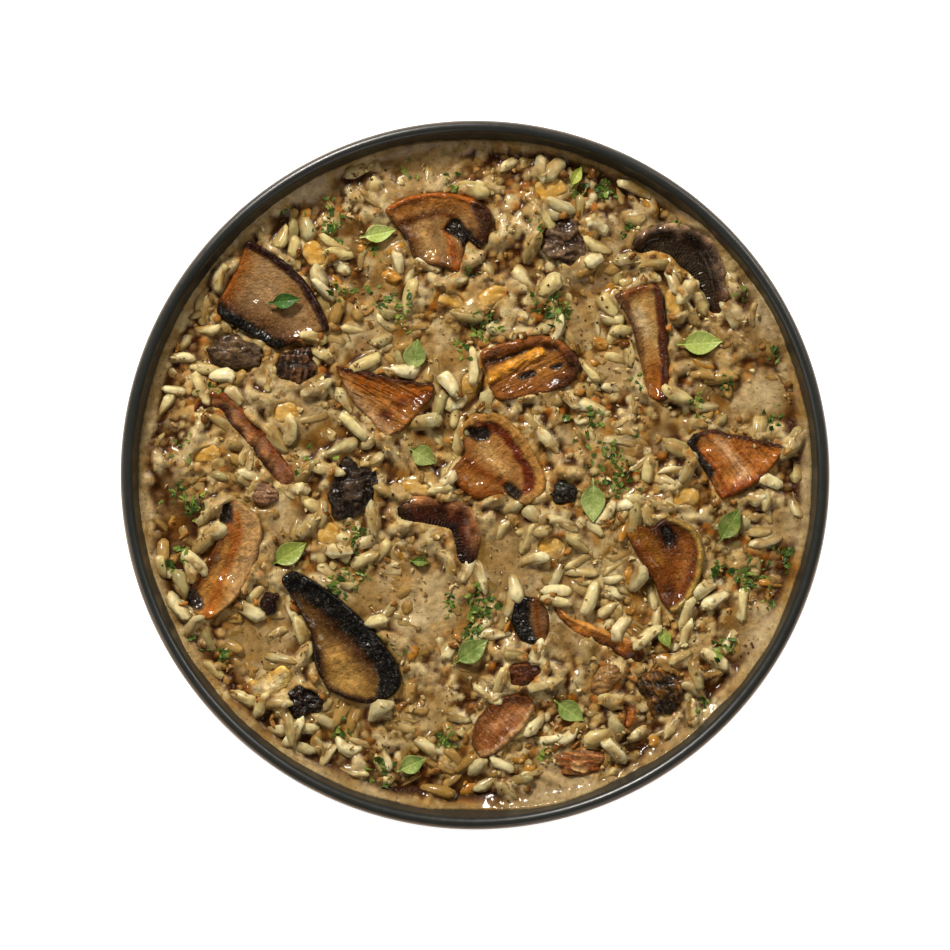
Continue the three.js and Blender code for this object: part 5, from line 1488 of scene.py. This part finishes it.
    def flood(self) -> tuple[Field, Field, Field]:
        """Floods the heap.

        The sauce stands at the heap's height smoothed over 3 mm and over 8 mm, but not far under the mean
        level, and higher where it is creamy and in pools. It coats grains by level + k log(1 + e^((grain -
        level) / k)), thickly where it is creamy and hardly on pale grains. It climbs on toppings and on the
        wall, and runs in under toppings. Crumbs stand in it as relief.

        Returns:
            The sauce's surface, how thinly it covers grains from 0 to 1, and how much shade is painted in
            its hollows, from 0 to 1.
        """
        x, y, away = self.x, self.y, self.away.values
        pool, level, wall = self.pool(x, y), self.level(x, y), self.radius - np.hypot(x, y)
        smooth = 0.5 * self.height.blurred(3.0).values + 0.5 * self.height.blurred(8.0).values
        creamy = np.clip(self.creamy + 1.3 * self.patches(12.0, 51, 3) + 0.4 * pool, 0.0, 1.0)
        least = level - self.least + 0.5 * self.patches(7.0, 54, 2)
        low = np.maximum(smooth - self.thirst + 0.5 * creamy, least)
        standing = low + pool * np.maximum(level + 0.35 - low, 0.0)
        film = 0.4 * self.height.blurred(0.3).values + 0.6 * self.height.blurred(0.8).values
        film += self.coat * creamy - self.bare * (1.0 - creamy)
        film += 0.12 * self.patches(2.5, 52, 2) - 0.45 * self.paleness.blurred(0.6).values
        surface = standing + self.knit * np.log1p(np.exp(np.clip((film - standing) / self.knit, -30, 30)))
        uneven = 1.0 + 0.8 * self.patches(6.0, 57, 2)
        surface += 0.8 * uneven * np.exp(-np.maximum(away, 0.0) / 1.1) * (away < 6.0)
        surface += (1.7 + 1.2 * self.patches(24.0, 58)) * np.exp(-np.maximum(wall, 0.0) / 0.9)
        crumbs, _ = crumb_field(x, y, self.crumb_size, self.crumb_seed)
        surface += self.minced(x, y) * crumbs * self.crumb_rise
        under = smoothstep(-0.5, -1.3, away)
        surface = surface * (1 - under) + self.topping_foot * under
        cover = 0.9 * smoothstep(1.5, 0.0, surface - film)
        # Painted shade: narrow and broad hollows of the surface get a dark tint as if shaded, less in pools
        # and at the wall.
        hollow, broad = (self.field(surface).blurred(reach).values - surface for reach in (1.7, 5.0))
        painted_hollow_shade = np.minimum(smoothstep(0.05, 0.6, hollow) + 0.5 * smoothstep(0.1, 0.9, broad), 1.0)
        painted_hollow_shade = painted_hollow_shade * (1 - 0.85 * pool) * (away > -0.3) * smoothstep(0.2, 2.6, wall)
        return self.field(surface), self.field(cover), self.field(painted_hollow_shade)

    def minced(self, x: Array, y: Array) -> Array:
        """How much fine mince stands in the sauce at a place, from 0 to 1: least in pools."""
        return smoothstep(-0.45, 0.15, flat_noise(x, y, 11.0, 73, 2)) * (1.0 - 0.85 * self.pool(x, y))


@dataclass
class Sauce:
    """The sauce as one body: its flooded top, and a side and a bottom that follow the inside of the bowl."""

    heap: Heap
    brown: str = "#62400d"
    cream: str = "#ab8b58"
    milk: str = "#cfba90"
    fat: str = "#a0681f"
    pooled: str = "#8f7040"
    shallow: str = "#a27f48"
    pale: str = "#ccba8c"
    rim: str = "#8c7448"
    # The colour of the shade painted in the sauce's hollows.
    hollow_shade_colour: str = "#361800"
    crumbs: tuple[str, ...] = ("#dcc488", "#cba463", "#a06c2c", "#e2d2a0", "#5c3611", "#b89250", "#a5601d",
                               "#bba164")
    steps: int = 296
    corner_rows: int = 8
    into_wall: float = 0.12
    gap: float = 0.1
    side_top: float = 24.0
    edge_power: float = 24.0

    def disc(self) -> tuple[Array, Array]:
        """A square grid pressed to a disc: x = u sqrt(1 - v^2 / 2), y = v sqrt(1 - u^2 / 2)."""
        u, v = np.meshgrid(*2 * [np.linspace(-1, 1, self.steps)])
        return u * np.sqrt(1 - v**2 / 2), v * np.sqrt(1 - u**2 / 2)

    def paint(self, x: Array, y: Array, cover: Field, painted_hollow_shade: Field) -> Array:
        """The sauce's tint: clouds, crumbs, grains that show through, pools, painted light near the wall,
        the wall's edge, and painted shade in hollows.
        """
        heap = self.heap
        rise, owner = crumb_field(x, y, heap.crumb_size, heap.crumb_seed)
        kinds = np.array([shade(code) for code in self.crumbs])
        crumbs = kinds[np.minimum((owner * len(kinds)).astype(int), len(kinds) - 1)]
        grains = mixed(shade(self.shallow), shade(self.pale), heap.paleness.blurred(0.5).at(x, y))
        pools = mixed(shade(self.pooled), shade(self.milk), 0.4 + 0.8 * flat_noise(x, y, 10.0, 84, 2))
        wall = heap.radius - np.hypot(x, y)
        # Painted light: patches of sauce within 7 mm of the wall are lightened toward milk, to lift the
        # shade the wall casts there.
        painted_light_near_wall = 0.3 + 0.6 * flat_noise(x, y, 9.0, 85, 2)
        tint = mixed(shade(self.brown), shade(self.cream), 0.5 + 1.6 * flat_noise(x, y, 8.0, 81, 3))
        for colour, share in (
            (shade(self.fat), 0.8 * smoothstep(-0.02, 0.4, flat_noise(x, y, 7.0, 82, 3))),
            (shade(self.milk), 0.9 * smoothstep(0.0, 0.5, flat_noise(x, y, 5.0, 83, 3))),
            (crumbs, 0.85 * heap.minced(x, y) * smoothstep(0.15, 0.55, rise)),
            (grains, cover.at(x, y)),
            (pools, 0.75 * heap.pool(x, y)),
            # painted light near the wall
            (shade(self.milk), painted_light_near_wall * smoothstep(7.0, 2.5, wall)),
            (shade(self.rim), 0.4 * smoothstep(2.0, 0.2, wall)),
            # painted shade in the hollows
            (shade(self.hollow_shade_colour), painted_hollow_shade.at(x, y)),
        ):
            tint = mixed(tint, colour, share)
        return tint

    def build(self, surface: Field, cover: Field, painted_hollow_shade: Field,
              material: bpy.types.Material) -> bpy.types.Object:
        """Builds the body and paints its points."""
        heap, bowl, n = self.heap, self.heap.bowl, self.steps
        x, y = self.disc()
        radius = heap.radius + self.into_wall
        z = surface.at(x * radius, y * radius)
        share = np.hypot(x, y) ** self.edge_power
        scale = radius * (1 - share) + (np.asarray(bowl.wall_radius(z)) + self.into_wall) * share
        top = np.stack([x * scale, y * scale, z], axis=-1).reshape(-1, 3)
        index = np.arange(n * n).reshape(n, n)
        ring = np.concatenate([index[0, :-1], index[:-1, -1], index[-1, :0:-1], index[:0:-1, 0]])
        heading = top[ring, :2] / np.linalg.norm(top[ring, :2], axis=1, keepdims=True)
        middle, height, sweep = bowl.corner()
        reach, floor = bowl.corner_radius - self.gap, bowl.floor_height + self.gap
        rows = [(float(bowl.wall_radius(self.side_top)) - self.gap, self.side_top)]
        rows += [(middle + reach * math.sin(a), height - reach * math.cos(a))
                 for a in np.linspace(sweep, 0.0, self.corner_rows)]
        rows += [(bowl.hub, floor)]
        skirt = [np.concatenate([heading * r, np.full((len(ring), 1), h)], axis=1) for r, h in rows]
        points = np.concatenate([top, *skirt, [[0.0, 0.0, floor]]])
        belts = [ring, *(n * n + np.arange(len(rows) * len(ring)).reshape(len(rows), -1))]
        sides = [np.stack([a, b, np.roll(b, -1), np.roll(a, -1)], axis=-1) for a, b in zip(belts, belts[1:])]
        faces = [quads_between(n, n, False), *sides, fan(belts[-1], len(points) - 1)[:, ::-1]]
        top_tint = self.paint(x * radius, y * radius, cover, painted_hollow_shade).reshape(-1, 3)
        tint = np.concatenate([top_tint, np.tile(shade(self.rim), (len(points) - n * n, 1))])
        made = make_object("sauce", points, faces, material, {"tint": tint})
        return place(made, "risotto", "risotto")


@dataclass
class GrainMaker:
    """Makes all grains of one cooking as one mesh."""

    surface: Field
    stations: tuple[float, ...] = (-0.965, -0.8, -0.4, 0.4, 0.8, 0.965)
    sides: int = 7
    angular: float = 0.13
    slant: float = 0.3
    nick_width: float = 0.16

    def build(self, look: GrainLook, grains: list[tuple[float, ...]],
              material: bpy.types.Material) -> bpy.types.Object:
        """Builds the grains that stand out of the sauce.

        A grain's radius at t from -1 to 1 along it is sqrt(1 - |t|^plump), with plump from 2.3 for a pointed
        grain to 5 for a blunt one, a little larger at one end and nicked in one place. Its section is a
        rounded triangle, its ends are cut slantwise, and it bends as t^2 does. Then it tilts and turns.
        """
        columns = np.asarray(grains).T
        x, y, z, turn, tilt, length, width, tone = columns
        seen = z + width / 2 * FLATNESS > self.surface.at(x, y) + 0.05
        x, y, z, turn, tilt, length, width, tone = columns[:, seen, None, None]
        pick = np.random.default_rng(len(x) + 5)
        shape = (len(x), 1, 1)
        plump = pick.uniform(*look.plump, shape)
        bend, taper = pick.normal(0.0, 0.4, shape), pick.uniform(-0.3, 0.3, shape)
        ridge = pick.uniform(0, 2 * math.pi, shape)
        nick_at, nick = pick.uniform(-0.6, 0.6, shape), pick.uniform(0.0, 0.22, shape)
        t = np.array(self.stations)[None, :, None]
        angle = full_turn(self.sides)
        nicked = 1 - nick * np.exp(-(((t - nick_at) / self.nick_width) ** 2))
        swell = np.sqrt(1 - np.abs(t) ** plump) * (1 + taper * t) * nicked
        corners = np.cos(3 * angle + ridge) + 0.5 * np.cos(2 * angle - ridge)
        side = swell * (1 + self.angular * corners)
        gx = t * length / 2 + 0.5 * self.slant * width * np.cos(angle - ridge) * t * np.abs(t)
        gy = width / 2 * side * np.cos(angle) + bend * (t**2 - 0.3)
        gz = width / 2 * FLATNESS * side * np.sin(angle)
        local = np.stack([gx, gy, gz], axis=-1).reshape(len(x), -1, 3)
        poles = np.zeros((len(x), 2, 3))
        poles[..., 0] = length[:, 0] / 2 * np.array([-1, 1])
        poles[..., 1] = bend[:, 0] * 0.7
        points = np.concatenate([local, poles], axis=1)
        middle = np.concatenate([x, y, z], axis=-1)
        bumps = noise(points + middle * 3.0, 1.7, 77, 2)[..., None]
        points = points * (1 + look.lumpy * bumps * np.array([0.3, 1.0, 1.0]))
        px, pz = turned(points[..., 0], points[..., 2], np.arctan(tilt[:, 0]))
        world = np.stack([*turned(px, points[..., 1], turn[:, 0]), pz], axis=-1) + middle
        last = len(self.stations) * self.sides
        ring = np.arange(self.sides)
        one = [quads_between(len(self.stations), self.sides, True)[:, ::-1], fan(ring, last),
               fan(ring + last - self.sides, last + 1)[:, ::-1]]
        over = world[..., 2] - self.surface.at(world[..., 0], world[..., 1])
        streak = 0.5 * noise(world, 2.6, 91, 3)
        tint = mixed(shade(look.dark), shade(look.light), tone[:, 0] + 0.8 * streak)
        film = look.filmed + streak + (1 - look.filmed) * smoothstep(1.2, 0.0, over)
        tint = mixed(tint, shade(look.film), film)
        # The foot of a grain, where it meets the sauce, is darkened as wet and as painted shade.
        tint = mixed(tint, shade(look.foot_wet_and_shade), 0.55 * smoothstep(0.4, -0.25, over + 0.5 * streak))
        skin, faces = copies(world, one)
        made = make_object(look.name, skin, faces, material, {"tint": tint.reshape(-1, 3)})
        return place(made, "risotto", "risotto")


# Clusters of chopped parsley: x, y, how many flakes, how far they spread.
HERB_CLUSTERS = (
    (-17.8, 85.8, 3, 2), (-7.2, 83.7, 6, 3), (-41.4, 71.4, 16, 5), (-29, 65.3, 6, 3), (-37.6, 51.6, 7, 3),
    (-22.5, 48.9, 20, 5.5), (-3, 35.9, 6, 3), (-2.4, 57.8, 6, 3), (-73.8, 24.3, 6, 2.5), (-83, 8.6, 6, 3),
    (-66.3, 30.1, 3, 1.5), (-52.3, 74.8, 6, 3), (37.4, 81, 14, 3), (29.1, 80.7, 6, 2), (19.2, 69.4, 6, 2),
    (45.2, 68.7, 6, 2.5), (57.9, 72.1, 7, 2.5), (22.7, 46.8, 26, 4.5), (3.5, 43.4, 18, 4),
    (77.3, 51.6, 9, 3), (85.9, 34.5, 8, 2.5), (70.5, 26.3, 7, 2.5), (62.3, 20.8, 8, 2.5),
    (84.2, 16, 9, 2.5), (32.9, 14.7, 7, 4), (39.7, 4.4, 24, 5), (45.9, 27, 4, 2), (-84.4, -4.8, 7, 2.5),
    (-79.6, -9.6, 14, 3.5), (-83, -21.9, 5, 2), (-86.5, -25.3, 5, 2), (-72.1, -50.6, 6, 2.5),
    (-80.3, -48.5, 4, 2), (-37.3, -30.1, 14, 3.5), (-31.8, -27.4, 6, 2.5), (-34.5, -17.1, 9, 3.5),
    (-7.2, -36.9, 7, 3), (0.6, -36.6, 22, 4.5), (0.3, -43, 18, 3.5), (-8.5, -74.5, 11, 3),
    (-37.3, -73.1, 6, 2.5), (-25, -84.1, 12, 4), (50, -28, 3, 1.5), (41, -3.8, 8, 3),
    (68.4, -27.4, 8, 2.5), (78, -28.7, 20, 4.5), (88.3, -22.6, 9, 2.5), (83.5, -36.2, 6, 2.5),
    (70.5, -49.2, 9, 2.5), (65, -66.3, 8, 2.5), (20.6, -79, 4, 1.5), (79.4, 3.4, 3, 2), (12, 2, 2, 6),
    (-46, 4, 3, 5), (-22, -50, 3, 5),
)

# Clusters of cracked pepper and fried crumbs: x, y, how many, how far they spread.
PEPPER_CLUSTERS = (
    (-32.1, 85.8, 16, 3.5), (-36.6, 78.9, 12, 3), (-39.3, 20.8, 14, 2.2), (-80.3, 29.7, 16, 5),
    (-27.7, 36.6, 12, 3.5), (46.6, 33.8, 14, 5), (-59.1, -53.3, 18, 5), (-26.3, -76.6, 10, 2.5),
    (-22.9, -86.8, 12, 3), (37.7, -54.7, 22, 5), (45.9, -77.3, 14, 3), (9, -91.5, 18, 5),
    (77.3, -52, 10, 3.5), (24, -25, 12, 5), (2, 60, 10, 4), (-4, -62, 12, 4), (30, 24, 10, 5),
    (66, 30, 8, 4), (-70, -58, 8, 4), (-86, 14, 8, 4), (0, 0, 120, 88), (0, 0, 160, 88), (-20, 20, 40, 24),
    (30, 40, 40, 24), (-50, -50, 40, 18),
)

# Broken rice and minced onion: a scatter all over the heap.
BIT_CLUSTERS = ((0, 0, 700, 90), (0, 0, 500, 130), (-40, 60, 40, 20), (60, -50, 60, 20), (30, -75, 60, 18))


@dataclass
class Sprinkle:
    """Small flakes or crumbs in clusters, laid on the rice and the sauce."""

    name: str
    finish: FoodFinish
    clusters: tuple[tuple[float, float, int, float], ...]
    size: Pair
    thick: float
    light: str
    dark: str
    seed: int
    steep: float = 0.5
    share: float = 1.0
    corners: int = 8

    def build(self, heap: Heap, surface: Field, material: bpy.types.Material) -> bpy.types.Object:
        """Builds the flakes.

        A flake is a ragged ring of eight points round an upper and a lower point, folded along its middle.
        It lies on the higher of sauce and grains, tilted anyhow. One that would fall on a topping goes.
        """
        pick = np.random.default_rng(self.seed)
        rows = np.concatenate([pick.normal((x, y), spread / 1.6, (round(count * self.share), 2))
                               for x, y, count, spread in self.clusters])
        rows = rows[(np.hypot(*rows.T) < heap.radius - 1.5) & (heap.away.at(*rows.T) > -0.3)]
        each, around = (len(rows), 1), (len(rows), self.corners)
        size = pick.uniform(*self.size, each) * pick.uniform(0.6, 1.0, each)
        angle = full_turn(self.corners) + pick.uniform(0, 1, each)
        radius = size / 2 * pick.uniform(0.45, 1.25, around)
        x, y = radius * np.cos(angle), radius * pick.uniform(0.35, 0.9, each) * np.sin(angle)
        fold = pick.uniform(-0.7, 0.7, each)
        ring = np.stack([x, y, pick.normal(0, 0.1, around) * size + fold * np.abs(y)], axis=-1)
        caps = np.zeros((len(rows), 2, 3))
        caps[..., 2] = -self.thick / 2, self.thick / 2
        shape = np.concatenate([ring, caps], axis=1)
        turn, slope = pick.uniform(0, 2 * math.pi, each), pick.normal(0, self.steep, (len(rows), 2, 1))
        px, py = turned(shape[..., 0], shape[..., 1], turn)
        height = np.maximum(surface.at(*rows.T), heap.height.at(*rows.T))[:, None]
        pz = shape[..., 2] + slope[:, 0] * px + slope[:, 1] * py + height + self.thick * 0.5
        world = np.stack([px + rows[:, :1], py + rows[:, 1:], pz], axis=-1)
        index = np.arange(self.corners)
        skin, faces = copies(world, [fan(index, self.corners)[:, ::-1], fan(index, self.corners + 1)])
        share = np.repeat(pick.random(len(rows)), self.corners + 2)
        tint = mixed(shade(self.dark), shade(self.light), share)
        made = make_object(self.name, skin, faces, material, {"tint": tint})
        made.data.shade_flat()
        return place(made, "risotto", "risotto")


SPRINKLES = (
    Sprinkle("parsley", HERB, HERB_CLUSTERS, (1.2, 3.9), 0.2, "#8ea044", "#2c4618", 61, 0.3, 1.9),
    Sprinkle("pepper", CHARRED, PEPPER_CLUSTERS, (0.5, 1.3), 0.5, "#7a4c28", "#1c120d", 62),
    Sprinkle("rice_bits", SOFTENED, BIT_CLUSTERS, (0.8, 2.6), 0.9, "#e2cf98", "#9a6c30", 63),
)


# ---- The studio ------------------------------------------------------------


@dataclass(frozen=True)
class Lamp:
    """A soft lamp: where it stands, its width, its power in watts, and its colour."""

    name: str
    at: Triple
    width: float
    power: float
    colour: str = "#ffffff"


@dataclass
class Studio:
    """A white table, soft light from above and the upper left, and a camera straight above the bowl."""

    floor_width: float = 3.0
    floor_colour: str = "#f4f4f2"
    floor_roughness: float = 0.9
    glow: float = 0.85
    sunk: float = 0.1
    camera_height: float = 1.35
    view_width: float = 0.2679
    sensor: float = 36.0
    rim_height: float = 0.0372
    ambient: float = 0.04
    view_end: float = 10.0
    lamps: tuple[Lamp, ...] = (
        Lamp("key", (-0.45, 0.95, 0.9), 0.3, 23.5, "#fffaf2"),
        Lamp("window", (0.8, 0.7, 0.9), 0.6, 6.2, "#fff9f0"),
        Lamp("fill", (0.4, -1.1, 0.8), 0.7, 2.4, "#fff6ea"),
        Lamp("side", (-1.1, -0.4, 0.8), 0.7, 2.6, "#fff8ee"),
    )

    def build_floor(self) -> bpy.types.Object:
        """Builds the table top: a flat white sheet that glows a little, so that shadows on it stay faint."""
        half = self.floor_width / 2 / MM
        points = np.array([(-half, -half, -self.sunk), (half, -half, -self.sunk), (half, half, -self.sunk),
                           (-half, half, -self.sunk)])
        material, tree, shader = new_material("white studio table")
        fill(tree, shader, {"Base Color": linear(self.floor_colour), "Roughness": self.floor_roughness,
                            "Emission Color": WHITE, "Emission Strength": self.glow})
        made = make_object("table", points, [np.array([[0, 1, 2, 3]])], material)
        return made

    def build_lamps(self) -> None:
        """Builds the lamps, each turned to the bowl, and the even light of the room."""
        for lamp in self.lamps:
            light = bpy.data.lights.new(lamp.name, "AREA")
            light.shape, light.size, light.energy = "DISK", lamp.width, lamp.power
            light.color = linear(lamp.colour)[:3]
            made = bpy.data.objects.new(lamp.name, light)
            x, y, z = lamp.at
            made.location = lamp.at
            made.rotation_euler = (0.0, math.atan2(math.hypot(x, y), z), math.atan2(y, x))
            bpy.context.scene.collection.objects.link(made)
        world = bpy.data.worlds.new("room")
        world.use_nodes = True
        fill(world.node_tree, world.node_tree.nodes["Background"],
             {"Color": WHITE, "Strength": self.ambient})
        bpy.context.scene.world = world

    def build_camera(self) -> None:
        """Builds the camera: its lens makes the view as wide as wanted at the height of the rim."""
        camera = bpy.data.cameras.new("overhead camera")
        camera.sensor_width = self.sensor
        camera.lens = self.sensor * (self.camera_height - self.rim_height) / self.view_width
        camera.clip_end = self.view_end
        made = bpy.data.objects.new("overhead camera", camera)
        made.location = (0.0, 0.0, self.camera_height)
        bpy.context.scene.collection.objects.link(made)
        bpy.context.scene.camera = made

    def build(self) -> None:
        """Builds the studio."""
        self.build_floor()
        self.build_lamps()
        self.build_camera()
        scene = bpy.context.scene
        scene.view_settings.view_transform = "Standard"
        scene.view_settings.look = "None"


def main() -> None:
    """Builds the bowl, the toppings, the rice with its sauce, and the studio."""
    logging.basicConfig(level=logging.INFO, format="%(name)s %(message)s")
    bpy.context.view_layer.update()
    bowl = Bowl()
    bowl.build(StonewareGlaze())
    made = {finish: finish.material() for finish in (BROWNED, CHARRED, SOFTENED, HERB, STOCK, RICE)}
    for finish, pieces in ((BROWNED, (*SLICES, *STRIPS)), (CHARRED, CHUNKS), (SOFTENED, ONIONS),
                           (HERB, LEAVES)):
        for piece in pieces:
            piece.build(made[finish])
    prints = [piece.footprint() for piece in (*SLICES, *STRIPS, *CHUNKS, *ONIONS)]
    heap = Heap(bowl, prints, [(leaf.footprint(), leaf.level) for leaf in LEAVES])
    heap.fill()
    surface, cover, painted_hollow_shade = heap.flood()
    Sauce(heap).build(surface, cover, painted_hollow_shade, made[STOCK])
    maker = GrainMaker(surface)
    for kind, grains in heap.grains.items():
        maker.build(kind.value, grains, made[kind.value.finish])
    for sprinkle in SPRINKLES:
        sprinkle.build(heap, surface, made[sprinkle.finish])
    Studio().build()


if __name__ == "__main__":
    main()
